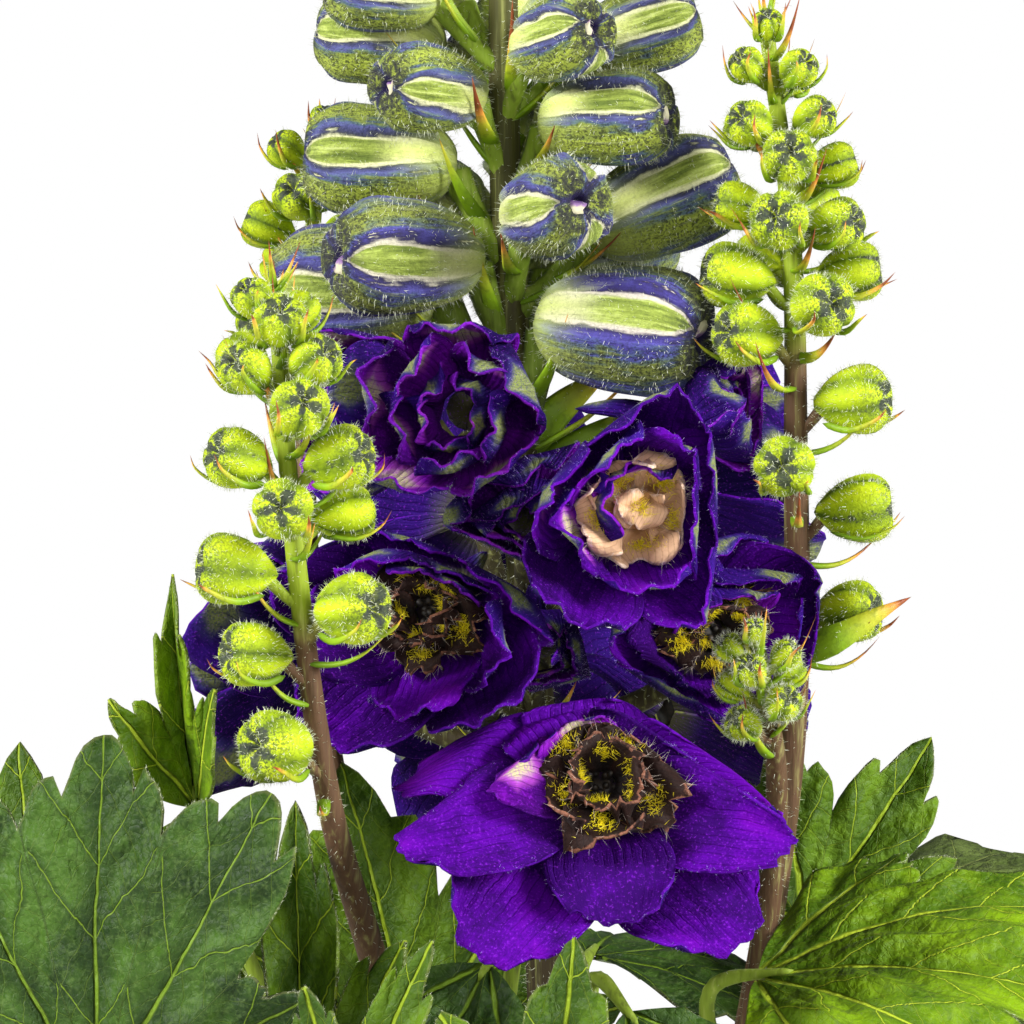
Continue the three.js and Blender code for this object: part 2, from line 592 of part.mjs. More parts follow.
// A petal's outline: its width at v as a share of the greatest, and how far along it a point lies. The claw
// is narrow, and from where the petal is widest its end is half an ellipse.
function petalOutline(u, v) {
  const claw = Math.min(v / WIDEST, 1);
  const past = Math.max((v - WIDEST) / (1 - WIDEST), 0);
  return {
    wide: (0.34 + 0.66 * Math.sin((Math.PI / 2) * claw) ** 1.1) * Math.sqrt(1 - past ** 2 / 2),
    far: Math.min(v, WIDEST) + (1 - WIDEST) * past * Math.sqrt(1 - u ** 2 / 2),
  };
}

// A point of a petal, with u from -1 to 1 across it and v from 0 to 1 along it. The petal leaves its base at
// the angle from and ends at the angle to. It is cupped, and twisted so that each petal lies over the next.
function petalAt({ spoke, turn, length, width, from, to, radius, height }, u, v) {
  const angle = spokeAt(spoke) + rad(turn);
  const bend = rad(to - from);
  const { wide, far } = petalOutline(u, v);
  const now = rad(from) + bend * far;
  const out = (length * (Math.sin(now) - Math.sin(rad(from)))) / bend;
  const rise = (length * (Math.cos(rad(from)) - Math.cos(now))) / bend;
  const side = (width / 2) * wide * u;
  const lift = CUP * width * u * u * v + TWIST * side;
  const reach = radius + out - lift * Math.sin(now);
  const [cos, sin] = [Math.cos(angle), Math.sin(angle)];
  return new THREE.Vector3(
    reach * cos - side * sin,
    reach * sin + side * cos,
    height + rise + lift * Math.cos(now),
  );
}

// A closed surface made of a foot (a tip and then rings), whorls of petals one above another and a top point.
// Whorls are { radius, height, steps, at } where at(petal, u, v) places the petal's points and steps lists v.
function flowerSolid(frame, foot, whorls, top) {
  const points = [];
  const faces = [];
  const add = (p) => points.push(p.clone().applyMatrix4(frame)) - 1;
  const next = (spoke) => (spoke + 1) % SPOKES;
  const each = (make) => Array.from({ length: SPOKES }, (_, spoke) => faces.push(...make(spoke)));
  const quad = (a, b, c, d) => [[a, b, c], [a, c, d]];
  const climb = (low, high) => each((i) => quad(low[i], low[next(i)], high[next(i)], high[i]));
  const tip = add(foot[0]);
  let ring = foot[1].map(add);
  each((i) => [[tip, ring[next(i)], ring[i]]]);
  for (const higher of foot.slice(2)) {
    const upper = higher.map(add);
    climb(ring, upper);
    ring = upper;
  }
  for (const { radius, height, steps, first, at } of whorls) {
    const middle = ringOf(radius, height).map((p) => p.applyMatrix4(frame));
    const triangles = [];
    for (let petal = 0; petal < 5; petal++) {
      let row = [-1, 0, 1].map((u) => (first + 2 * petal + u + SPOKES) % SPOKES);
      for (const v of steps) {
        const upper = [-1, 0, 1].map((u) => middle.push(at(petal, u, v)) - 1);
        triangles.push(...quad(row[0], upper[0], upper[1], row[1]));
        triangles.push(...quad(row[1], upper[1], upper[2], row[2]));
        row = upper;
      }
    }
    const skin = skins(middle, triangles, PETAL, SPOKES);
    const start = points.push(...skin.points) - skin.points.length;
    faces.push(...skin.faces.map((face) => face.map((corner) => corner + start)));
    const spokes = Array.from({ length: SPOKES }, (_, spoke) => start + spoke);
    climb(ring, spokes.map((spoke) => spoke + skin.under));
    ring = spokes;
  }
  const crown = add(top);
  each((i) => [[crown, ring[i], ring[next(i)]]]);
  return solidFrom(points, faces);
}

// Five sepals with a spur behind the upper one, and five petals inside them.
function makeBloom(bloom, seed) {
  const form = FORMS[bloom.form];
  const frame = flowerMatrix(bloomPlace(bloom));
  const walls = wallsOf(bloom);
  const whorl = ([length, from, to], radius, height, first, inset) => ({
    radius,
    height,
    steps: [0.55, 1],
    first,
    at: (petal, u, v) => {
      const id = petal + first * 5;
      const spoke = first + 2 * petal;
      const turn = 5 * draw(seed, id);
      const oval = 1 + form.oval * Math.cos(2 * (spokeAt(spoke) + rad(turn)));
      const shape = {
        spoke,
        turn,
        length: length * (1 + 0.06 * draw(seed, id + 20)) * oval,
        width: length * form.wide,
        from,
        to: to + 8 * draw(seed, id + 40),
        radius,
        height,
      };
      return keepInside(petalAt(shape, u, v).applyMatrix4(frame), walls, inset);
    },
  });
  const whorls = [whorl(form.sepals, 3.4, 1.6, 2, 0), whorl(form.petals, 3.2, 4.4, 3, 1.6)];
  return flowerSolid(frame, footOf(bloom), whorls, new THREE.Vector3(0, 0, EYE_FOOT - GAP));
}

const EYE_FOOT = 5.2; // above the flower's base
const EYE_HEIGHT = 4.6;

// The flower's dark eye: five small notched petals on a short column.
function makeEye(bloom, seed) {
  const walls = wallsOf(bloom);
  const length = FORMS[bloom.form].eye;
  const frame = flowerMatrix(bloomPlace(bloom));
  const at = (petal, u, v) => {
    const shape = {
      spoke: 3 + 2 * petal,
      turn: 8 * draw(seed, petal),
      length: length * (u === 0 ? 0.86 : 1) + 0.6 * draw(seed, petal + 10),
      width: length + 1.4,
      from: 34,
      to: 4 + 12 * draw(seed, petal + 20),
      radius: 2.6,
      height: EYE_FOOT + EYE_HEIGHT,
    };
    return keepInside(petalAt(shape, u, v).applyMatrix4(frame), walls, 3.4);
  };
  const foot = [new THREE.Vector3(0, 0, EYE_FOOT), ringOf(2, EYE_FOOT)];
  const whorl = { radius: 2.6, height: EYE_FOOT + EYE_HEIGHT, steps: [0.95], first: 3, at };
  return flowerSolid(frame, foot, [whorl], new THREE.Vector3(0, 0, EYE_FOOT + EYE_HEIGHT + 1.4));
}

// ---------------------------------------------------------------- leaves

// A lobed leaf on a stalk that stands in the soil. Each lobe of the blade has a tip with a tooth on either
// side, and a bay lies between it and the next. The square stalk runs into the blade's base.
function makeLeaf({ base, tip, face, curl, fold, kind, root }) {
  const { lobes, tips, bays, half, tooth } = LEAF_KINDS[kind];
  const start = vec(base);
  const along = vec(tip).sub(start);
  const length = along.length();
  along.normalize();
  const upper = vec(face).addScaledVector(along, -vec(face).dot(along)).normalize();
  const across = new THREE.Vector3().crossVectors(upper, along);
  const bend = rad(curl);
  const points = [start.clone().addScaledVector(across, -1.1), start.clone().addScaledVector(across, 1.1)];
  const add = (angle, share, raise = 0) => {
    const out = (length * Math.sin(bend * share)) / bend;
    const side = out * Math.sin(rad(angle));
    const folded = (Math.sin(rad(fold)) * side ** 2) / (Math.abs(side) + 2);
    const drop = (length * (1 - Math.cos(bend * share))) / bend - raise * length - folded;
    const point = start.clone().addScaledVector(along, out * Math.cos(rad(angle)));
    point.addScaledVector(across, side * Math.cos(rad(fold))).addScaledVector(upper, -drop);
    return points.push(point) - 1;
  };
  const last = lobes.length - 1;
  const triangles = [];
  let corner = add(-lobes[last] - half * 1.5, bays[last], 0.03);
  for (let lobe = -last; lobe <= last; lobe++) {
    const i = Math.abs(lobe);
    const middle = Math.sign(lobe) * lobes[i];
    const bay = lobe < 0 ? bays[i - 1] : bays[i];
    const vein = add(middle, tips[i] * 0.55);
    const rim = [
      lobe > 0 ? 1 : 0,
      corner,
      add(middle - half * 0.6, tips[i] * tooth, 0.02),
      add(middle - half * 0.42, tips[i] * (tooth - 0.06)),
      add(middle, tips[i]),
      add(middle + half * 0.42, tips[i] * (tooth - 0.06)),
      add(middle + half * 0.6, tips[i] * tooth, 0.02),
      add(middle + (lobe === last ? half * 1.5 : half), bay, 0.03),
    ];
    corner = rim.at(-1);
    if (lobe === 0) rim.push(1);
    rim.forEach((point, k) => triangles.push([vein, point, rim[(k + 1) % rim.length]]));
  }
  const skin = skins(points, triangles, BLADE, 2);
  const faces = skin.faces;
  const foot = new THREE.Vector3(root[0], root[1], SOIL_TOP);
  const halfway = foot.clone().lerp(start, 0.45).setZ(mix(SOIL_TOP, start.z, 0.62));
  const bends = [halfway, start.clone().addScaledVector(along, -7).addScaledVector(upper, -0.5)];
  const path = rooted(root, bends, 4);
  let side = across;
  let above = [0, 1, 1 + skin.under, skin.under];
  for (let i = path.length - 1; i >= 0; i--) {
    const toward = (path[i + 1] ?? start).clone().sub(path[Math.max(i - 1, 0)]).normalize();
    side = side.clone().addScaledVector(toward, -side.dot(toward)).normalize();
    const normal = new THREE.Vector3().crossVectors(toward, side);
    const below = [[-1, 1], [1, 1], [1, -1], [-1, -1]].map(([x, y]) => {
      const point = path[i].clone().addScaledVector(side, x * STALK * 0.75);
      return skin.points.push(point.addScaledVector(normal, y * STALK * 0.75)) - 1;
    });
    for (const q of [0, 1, 2, 3]) {
      const r = (q + 1) % 4;
      faces.push([below[q], above[q], above[r]], [below[q], above[r], below[r]]);
    }
    above = below;
  }
  faces.push([above[0], above[1], above[2]], [above[0], above[2], above[3]]);
  return solidFrom(skin.points, faces);
}

// ---------------------------------------------------------------- the plant

const plant = new THREE.Group();
const holes = [
  ...[MAIN_STEM, ...SIDE_STEMS].map(({ path: [[x, y]], radii: [radius] }) => ({ x, y, radius })),
  ...LEAVES.map(({ root: [x, y] }) => ({ x, y, radius: STALK })),
];

plant.add(meshOf("pot", makePot(), SLATE, 0.5));
plant.add(meshOf("soil", makeSoil(holes), PEAT, 0.95));
plant.add(meshOf(MAIN_STEM.name, makeMainSpike(), STEM_GREEN));
for (const stem of SIDE_STEMS) plant.add(meshOf(stem.name, makeSideSpike(stem), BUD_GREEN));
for (const leaf of LEAVES) plant.add(meshOf(leaf.name, makeLeaf(leaf), LEAF_GREEN));
BLOOMS.forEach((bloom, i) => {
  plant.add(meshOf(bloom.name, makeBloom(bloom, i + 1), PURPLE));
  if (FORMS[bloom.form].eye) plant.add(meshOf(`${bloom.name}_eye`, makeEye(bloom, i + 1), BROWN));
});

export default plant;
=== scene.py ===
import math

import bpy
import numpy as np
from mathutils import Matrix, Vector, noise


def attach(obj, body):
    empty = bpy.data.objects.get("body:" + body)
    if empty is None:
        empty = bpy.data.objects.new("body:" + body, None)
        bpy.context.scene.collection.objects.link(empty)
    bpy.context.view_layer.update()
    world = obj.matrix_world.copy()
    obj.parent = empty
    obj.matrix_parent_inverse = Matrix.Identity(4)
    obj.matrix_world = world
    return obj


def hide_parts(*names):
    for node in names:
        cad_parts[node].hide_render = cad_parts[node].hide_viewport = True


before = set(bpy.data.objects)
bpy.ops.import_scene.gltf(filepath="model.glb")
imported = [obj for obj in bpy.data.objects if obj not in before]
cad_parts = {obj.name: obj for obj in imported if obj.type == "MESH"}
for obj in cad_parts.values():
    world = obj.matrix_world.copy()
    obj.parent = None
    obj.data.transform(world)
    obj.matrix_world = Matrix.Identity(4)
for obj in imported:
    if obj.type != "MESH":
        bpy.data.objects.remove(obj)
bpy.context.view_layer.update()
bpy.ops.object.select_all(action="DESELECT")

# -------------------- camera
# The plant is seen almost level with its open flowers, close enough that the pot and the top of the spike
# are out of view.
LOOK_AT = Vector((0, 0, 0.25))
DISTANCE = 0.7
TILT = math.radians(3)
# the width of plant in view, and the width of the camera's sensor in millimetres
VIEW_WIDTH = 0.14336
SENSOR_WIDTH = 36
bpy.ops.object.camera_add(location=LOOK_AT + DISTANCE * Vector((0, -math.cos(TILT), math.sin(TILT))))
camera = bpy.context.object
camera.rotation_euler = (LOOK_AT - camera.location).to_track_quat("-Z", "Y").to_euler()
camera.data.sensor_width = SENSOR_WIDTH
camera.data.lens = SENSOR_WIDTH * DISTANCE / VIEW_WIDTH
camera.data.clip_start = 0.01
bpy.context.scene.camera = camera

# -------------------- pot
# A round nursery pot of dark grey plastic, moulded in one piece with a collar and a thin rolled rim.
# It stands on its flat floor, which has six drain holes.
POT_FOOT = 0.052
POT_BODY = 0.066
POT_COLLAR = 0.072
POT_RIM = 0.0732
POT_WALL = 0.002
POT_HEIGHT = 0.128
COLLAR_FOOT = 0.106
COLLAR_LIP = 0.071
RIM_LEDGE = 0.0002
RIM_HEIGHT = 0.0022
DRAINS = 6
DRAIN_RADIUS = 0.004
DRAIN_RING = 0.7 * POT_FOOT
DRILL_DEPTH = 0.01
EDGE_ROUNDING = 0.0005


def paint(colour):
    """A colour as the shader needs it, from its red, green and blue as the eye sees them, 0 to 255."""
    shares = [c / 255 for c in colour]
    return (*(c / 12.92 if c < 0.04045 else ((c + 0.055) / 1.055) ** 2.4 for c in shares), 1)


def new_finish(name, colour, roughness=0.5, **sockets):
    """A material with one shader, on which its constants are set. colour is red, green and blue."""
    finish = bpy.data.materials.new(name)
    finish.use_nodes = True
    shader = finish.node_tree.nodes["Principled BSDF"]
    shader.inputs["Base Color"].default_value = paint(colour)
    shader.inputs["Roughness"].default_value = roughness
    for socket, value in sockets.items():
        shader.inputs[socket.replace("_", " ")].default_value = value
    return finish, finish.node_tree, shader


def node(tree, kind, *inputs, out=0, **settings):
    """Adds a shader node and returns an output. Each input is a number, a colour or another node's output."""
    made = tree.nodes.new("ShaderNode" + kind)
    for key, value in settings.items():
        setattr(made, key, value)
    for socket, value in zip(made.inputs, inputs):
        if isinstance(value, bpy.types.NodeSocket):
            tree.links.new(value, socket)
        elif value is not None:
            socket.default_value = value
    return made.outputs[out]


def maths(operation, *inputs):
    """One step of arithmetic. At least one input is another node's output."""
    tree = next(value.id_data for value in inputs if isinstance(value, bpy.types.NodeSocket))
    return node(tree, "Math", *inputs, operation=operation)


def plus(a, b):
    return maths("ADD", a, b)


def minus(a, b):
    return maths("SUBTRACT", a, b)


def times(a, b, more=None):
    """a times b, and more added to it if there is more."""
    return maths("MULTIPLY", a, b) if more is None else maths("MULTIPLY_ADD", a, b, more)


def fade(value, low, high, to_low=0.0, to_high=1.0):
    """A smooth step of value from low to high."""
    shape = {"interpolation_type": "SMOOTHSTEP"}
    return node(value.id_data, "MapRange", value, low, high, to_low, to_high, **shape)


def blend(share, first, second):
    """first where share is 0 and second where it is 1. Each is an output or red, green and blue."""
    unused = [None] * 5
    both = [c if isinstance(c, bpy.types.NodeSocket) else paint(c) for c in (first, second)]
    return node(share.id_data, "Mix", share, *unused, *both, out=2, data_type="RGBA")


def ramp(value, stops):
    """A colour for each value: stops are a value, red, green and blue."""
    ramp_out = node(value.id_data, "ValToRGB", value)
    points = ramp_out.node.color_ramp.elements
    for i, (at, *colour) in enumerate(stops):
        point = points[i] if i < 2 else points.new(at)
        point.position = at
        point.color = paint(colour)
    return ramp_out


def place_of(tree, stretch=(1, 1, 1)):
    """The point on the piece, in metres, stretched."""
    at = node(tree, "TexCoord", out=3)
    return node(tree, "Mapping", at, (0, 0, 0), (0, 0, 0), stretch)


def speckle(tree, scale, detail=3.0, roughness=0.55, stretch=(1, 1, 1), place=None):
    """A soft random pattern over the piece, or over a place given for it."""
    return node(tree, "TexNoise", place or place_of(tree, stretch), None, scale, detail, roughness)


def on_map(tree, axis):
    """How far across (axis 0) or along (axis 1) its own map a point is, from 0 to 1."""
    return node(tree, "SeparateXYZ", node(tree, "UVMap"), out=axis)


def mark(tree, name):
    """A number that the mesh carries at each vertex."""
    return node(tree, "Attribute", attribute_name=name, out=2)


def feed(shader, socket, value):
    shader.id_data.links.new(value, shader.inputs[socket])


def dress(shader, colour, relief, strength, depth):
    """Gives the shader its colour, and bumps of a strength and of a depth in metres."""
    feed(shader, "Base Color", colour)
    feed(shader, "Normal", node(relief.id_data, "Bump", strength, depth, None, relief))


def keep(piece, replaced):
    """The finished piece stands on the root body in place of its solid."""
    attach(piece, "root")
    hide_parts(replaced)


def only(piece):
    """Selects one piece alone."""
    bpy.ops.object.select_all(action="DESELECT")
    piece.select_set(True)
    bpy.context.view_layer.objects.active = piece


def step_out(rise, grow):
    """Extrudes the chosen face up by rise and scales it by grow."""
    bpy.ops.mesh.extrude_region_move(TRANSFORM_OT_translate={"value": (0, 0, rise)})
    bpy.ops.transform.resize(value=(grow, grow, 1), center_override=(0, 0, 0))


def choose_top(piece):
    """In edit mode, chooses only the highest face that lies flat."""
    bpy.ops.mesh.select_mode(type="FACE")
    bpy.ops.mesh.select_all(action="DESELECT")
    bpy.ops.object.mode_set(mode="OBJECT")
    flat = [f for f in piece.data.polygons if f.normal.z > 0.99]
    max(flat, key=lambda f: f.center.z).select = True
    bpy.ops.object.mode_set(mode="EDIT")


bpy.ops.mesh.primitive_cylinder_add(
    vertices=96, radius=POT_FOOT, depth=COLLAR_FOOT, location=(0, 0, COLLAR_FOOT / 2)
)
pot = bpy.context.object
pot.name = "nursery_pot"
bpy.ops.object.transform_apply(location=True)
bpy.ops.object.mode_set(mode="EDIT")
choose_top(pot)
widen = POT_BODY / POT_FOOT
bpy.ops.transform.resize(value=(widen, widen, 1), center_override=(0, 0, 0))
# up the outside of the collar and over the rim, then down the inside to the floor
step_out(0, COLLAR_LIP / POT_BODY)
step_out(POT_HEIGHT - RIM_LEDGE - RIM_HEIGHT - COLLAR_FOOT, POT_COLLAR / COLLAR_LIP)
step_out(RIM_LEDGE, POT_RIM / POT_COLLAR)
step_out(RIM_HEIGHT, 1)
step_out(0, (POT_COLLAR - POT_WALL) / POT_RIM)
step_out(COLLAR_FOOT - POT_WALL - POT_HEIGHT, (POT_BODY - POT_WALL) / (POT_COLLAR - POT_WALL))
step_out(2 * POT_WALL - COLLAR_FOOT, (POT_FOOT - POT_WALL) / (POT_BODY - POT_WALL))
bpy.ops.object.mode_set(mode="OBJECT")

for i in range(DRAINS):
    turn = i * math.tau / DRAINS
    centre = DRAIN_RING * Vector((math.sin(turn), -math.cos(turn), 0))
    bpy.ops.mesh.primitive_cylinder_add(vertices=24, radius=DRAIN_RADIUS, depth=DRILL_DEPTH, location=centre)
    drill = bpy.context.object
    only(pot)
    cut = pot.modifiers.new("drain", "BOOLEAN")
    cut.operation = "DIFFERENCE"
    cut.object = drill
    bpy.ops.object.modifier_apply(modifier="drain")
    bpy.data.objects.remove(drill)
edge = pot.modifiers.new("edge", "BEVEL")
edge.width = EDGE_ROUNDING
edge.segments = 2
edge.limit_method = "ANGLE"
edge.angle_limit = math.radians(40)
bpy.ops.object.modifier_apply(modifier="edge")
bpy.ops.object.shade_smooth_by_angle(angle=math.radians(35))

finish, tree, shader = new_finish("pot_plastic", (47, 48, 51), 0.5)
dust = speckle(tree, 60, 6, stretch=(1, 1, 0.3))
height = node(tree, "SeparateXYZ", place_of(tree), out=2)
soiled = times(fade(height, 0.06, POT_HEIGHT, 0.15, 1), fade(dust, 0.45, 0.75))
colour = blend(times(soiled, 0.5), (44, 45, 48), (96, 88, 78))
feed(shader, "Roughness", fade(soiled, 0, 1, 0.42, 0.75))
rings = maths("SINE", times(height, 900))
grain = speckle(tree, 1800, 2)
dress(shader, colour, plus(grain, times(rings, 0.25)), 0.25, 0.0002)
pot.data.materials.append(finish)
keep(pot, "pot")

# -------------------- soil
# Dark potting peat that fills the pot to a finger's width below the rim. Its top is crumbly, with bits of
# bark and white perlite pressed into it.
SOIL_FLOOR = 0.0023
SOIL_NECK = 0.104
SOIL_TOP = 0.117
SOIL_FOOT_RADIUS = 0.0497
SOIL_NECK_RADIUS = 0.0637
SOIL_RADIUS = 0.0683
TOP_RINGS = 26
RING_WIDTH = 0.0025
# height and fineness of the lumps in its top
LUMPS = ((0.0022, 90), (0.0009, 330))
LEVEL = 0.001

middle = (0, 0, (SOIL_FLOOR + SOIL_NECK) / 2)
bpy.ops.mesh.primitive_cylinder_add(
    vertices=96, radius=SOIL_FOOT_RADIUS, depth=SOIL_NECK - SOIL_FLOOR, location=middle
)
soil = bpy.context.object
soil.name = "potting_soil"
bpy.ops.object.transform_apply(location=True)
bpy.ops.object.mode_set(mode="EDIT")
choose_top(soil)
widen = SOIL_NECK_RADIUS / SOIL_FOOT_RADIUS
bpy.ops.transform.resize(value=(widen, widen, 1), center_override=(0, 0, 0))
step_out(SOIL_TOP - SOIL_NECK, SOIL_RADIUS / SOIL_NECK_RADIUS)
for _ in range(TOP_RINGS):
    bpy.ops.mesh.inset(thickness=RING_WIDTH)
bpy.ops.mesh.poke()
bpy.ops.object.mode_set(mode="OBJECT")
for vertex in soil.data.vertices:
    if vertex.co.z > SOIL_TOP - LEVEL and vertex.co.xy.length < SOIL_RADIUS - LEVEL:
        vertex.co.z += sum(high * noise.noise(vertex.co * fine) for high, fine in LUMPS)
bpy.ops.object.shade_smooth()

peat, tree, shader = new_finish("peat", (45, 30, 22), 0.95, Specular_IOR_Level=0.2)
fine = speckle(tree, 700, 8, 0.7)
colour = ramp(fine, [(0.3, 20, 13, 10), (0.55, 52, 36, 26), (0.75, 92, 70, 50)])
dress(shader, colour, fine, 0.9, 0.0012)
soil.data.materials.append(peat)
keep(soil, "soil")


def numbers(items, key, width, kind=np.float32):
    """One property of every item, as an array of rows."""
    flat = np.zeros(len(items) * width, kind)
    items.foreach_get(key, flat)
    return flat.reshape(-1, width) if width > 1 else flat


def pattern_of(piece):
    """Takes a made piece apart into a pattern for copies: its faces, and the places of its vertices.
    The faces always come in the same order, as the vertex and the flat place of each corner, and where
    among the corners each face starts."""
    mesh = piece.data
    places = numbers(mesh.vertices, "co", 3)
    corners = numbers(mesh.loops, "vertex_index", 1, np.int32)
    flat = numbers(mesh.uv_layers[0].data, "uv", 2)
    faces = []
    for face in mesh.polygons:
        ring = list(face.loop_indices)
        first = int(np.argmin(corners[ring]))
        faces.append(ring[first:] + ring[:first])
    faces.sort(key=lambda ring: tuple(corners[ring]))
    order = np.concatenate(faces)
    starts = np.cumsum([0] + [len(ring) for ring in faces[:-1]])
    bpy.data.objects.remove(piece)
    return (corners[order], starts, flat[order]), places


def grow(name, slot, replaced, faces, places, finishes, thickness=0, smooth=True, **marks):
    """Makes one finished piece of many copies of a pattern. places are millimetres: copies, vertices, 3. A
    sheet gets a thickness, with the last finish on its back. marks are named numbers, one for each copy or
    one for each vertex of each copy."""
    places = np.asarray(places)
    count, size = places.shape[:2]
    corners, starts, flat = faces
    copy = np.arange(count)[:, None]
    made = bpy.data.meshes.new(name)
    made.vertices.add(count * size)
    made.vertices.foreach_set("co", (places / 1000).astype(np.float32).ravel())
    made.loops.add(count * len(corners))
    made.loops.foreach_set("vertex_index", (corners + copy * size).astype(np.int32).ravel())
    made.polygons.add(count * len(starts))
    made.polygons.foreach_set("loop_start", (starts + copy * len(corners)).astype(np.int32).ravel())
    made.update(calc_edges=True)
    made.uv_layers.new(name="UVMap").data.foreach_set("uv", np.tile(flat, (count, 1)).ravel())
    for key, values in marks.items():
        spread = np.broadcast_to(np.reshape(values, (count, -1)), (count, size)).astype(np.float32)
        made.attributes.new(key, "FLOAT", "POINT").data.foreach_set("value", spread.ravel())
    made.polygons.foreach_set("use_smooth", np.full(count * len(starts), smooth))
    for finish in finishes:
        made.materials.append(finish)
    piece = bpy.data.objects.new(name, made)
    bpy.context.collection.objects.link(piece)
    if thickness:
        only(piece)
        wall = piece.modifiers.new("wall", "SOLIDIFY")
        wall.thickness = thickness
        wall.offset = 0
        wall.material_offset = len(finishes) - 1
        bpy.ops.object.modifier_apply(modifier="wall")
    keep(piece, replaced)
    return piece


def crumbs(name, count, sizes, finish, seed, sink, shape=(1, 1, 1), reach=66):
    """Small rough lumps scattered over the soil. sizes are the smallest and the largest radius, sink is how
    far up a lump's middle stands, in radii, and reach is how far out they lie."""
    draw = np.random.default_rng(seed)
    bpy.ops.mesh.primitive_ico_sphere_add(subdivisions=1 if count > 500 else 2, radius=1)
    faces, form = pattern_of(bpy.context.object)
    wild = form[None] * (1 + 0.35 * draw.uniform(-1, 1, (count, len(form), 1)))
    wild = wild * np.array(shape) * (1 + 0.5 * draw.uniform(-1, 1, (count, 1, 3)))
    turn = draw.uniform(0, math.tau, (count, 1))
    cos, sin = np.cos(turn), np.sin(turn)
    x, y, z = np.moveaxis(wild, -1, 0)
    x, y = x * cos - y * sin, x * sin + y * cos
    radius = np.exp(draw.uniform(math.log(sizes[0]), math.log(sizes[1]), (count, 1)))
    where = draw.uniform(0, math.tau, (count, 1))
    out = reach * np.sqrt(draw.uniform(0, 1, (count, 1)))
    ground = SOIL_TOP * 1000 + radius * sink
    x, y = out * np.sin(where) + x * radius, out * np.cos(where) + y * radius
    places = np.stack([x, y, ground + z * radius], -1)
    tone = draw.uniform(-1, 1, count)
    grow(name, "soil", "soil", faces, places, [finish], smooth=False, tone=tone)


crumbs("peat_crumbs", 800, (0.7, 2.4), peat, seed=1, sink=0.5)
finish, tree, shader = new_finish("bark", (88, 58, 38), 0.85)
tone = mark(tree, "tone")
fibre = speckle(tree, 500, 5, stretch=(1, 4, 1))
shade = plus(fibre, times(tone, 0.2))
colour = ramp(shade, [(0.3, 52, 34, 24), (0.6, 104, 72, 48), (0.8, 140, 106, 76)])
dress(shader, colour, fibre, 0.6, 0.0006)
crumbs("bark_chips", 110, (1.6, 3.6), finish, seed=2, sink=0.1, shape=(1.5, 0.7, 0.3), reach=64)
finish, tree, shader = new_finish("perlite", (226, 223, 214), 0.9)
pores = speckle(tree, 1500, 4)
dress(shader, ramp(pores, [(0.35, 176, 168, 154), (0.55, 236, 233, 226)]), pores, 0.8, 0.0005)
crumbs("perlite", 120, (0.7, 1.7), finish, seed=3, sink=0.25)

# -------------------- main stem
# One thick hairy stem, round with shallow ridges, that grows out of the crown. It is olive green, browner
# towards the soil, and thins up to its tip. A short stalk leaves it for each open flower.
MAIN_PATH = [(7, 4, 117), (7, 3, 140), (5, 0, 190), (2, 0, 240), (-1, 0, 300), (-1, 0, 370), (-2, 0, 424)]
# its radii, evenly from the foot to the tip, and those of a flower's stalk
MAIN_RADII = [4.2, 3.4, 2.7, 1.9, 1.1]
STALK_RADII = [2.2, 1.7, 1.5, 1.6, 2.1]
RIDGES = 7
RIDGE_DEPTH = 0.05
STEM_FOOT = 107.3

# name, form, azimuth, height, reach from the stem, lift and turn of each open flower
BLOOMS = [
    ("bloom_front_low", "flat", 12, 212, 33, 24, -4),
    ("bloom_left", "bowl", -24, 237.5, 25, 6, 6),
    ("bloom_right", "bowl", 57, 234, 25, 6, -34),
    ("bloom_centre", "half", 27, 251.5, 29, 4, -16),
    ("bloom_top", "opening", -20, 264, 19, 4, 8),
    ("bloom_top_left", "opening", -70, 264.5, 14, -4, 0),
    ("bloom_top_right", "tight", 68, 262, 25, 24, 0),
    ("bloom_back_right", "half", 124, 254, 23, 8, -14),
    ("bloom_back_left", "cupped", -104, 230, 26, 6, 0),
    ("bloom_side_right", "half", 122, 222, 20, 4, -10),
    ("bloom_back_low", "cupped", 186, 216, 27, 6, 0),
    ("bloom_back", "cupped", -166, 249, 22, 8, 0),
    ("bloom_middle", "opening", 2, 249, 12, 4, 0),
    ("bloom_under", "tight", 4, 232, 13, 0, 0),
]


def spline(points, count):
    """A smooth line of count points through the given ones."""
    given = np.array(points, float)
    p = np.vstack([2 * given[0] - given[1], given, 2 * given[-1] - given[-2]])
    line = []
    for t in np.linspace(0, len(given) - 1, count):
        i = min(int(t), len(given) - 2)
        s = t - i
        a, b, c, d = p[i : i + 4]
        ab, bc, cd = (np.linalg.norm(e) ** 0.5 for e in (b - a, c - b, d - c))
        m = bc * ((b - a) / ab - (c - a) / (ab + bc) + (c - b) / bc)
        n = bc * ((c - b) / bc - (d - b) / (bc + cd) + (d - c) / cd)
        line.append(b + m * s + (3 * (c - b) - 2 * m - n) * s**2 + (2 * (b - c) + m + n) * s**3)
    return np.array(line)


def at_height(line, height):
    """The point of a stem at a height."""
    return np.array([np.interp(height, line[:, 2], line[:, k]) for k in (0, 1)] + [height])


def outward(azimuth, pitch=0.0):
    """The direction out of the stem: azimuth 0 is the front and 90 is to the right."""
    a, p = math.radians(azimuth), math.radians(pitch)
    return np.array([math.sin(a) * math.cos(p), -math.cos(a) * math.cos(p), math.sin(p)])


def unit(v):
    return v / np.linalg.norm(v, axis=-1, keepdims=True)


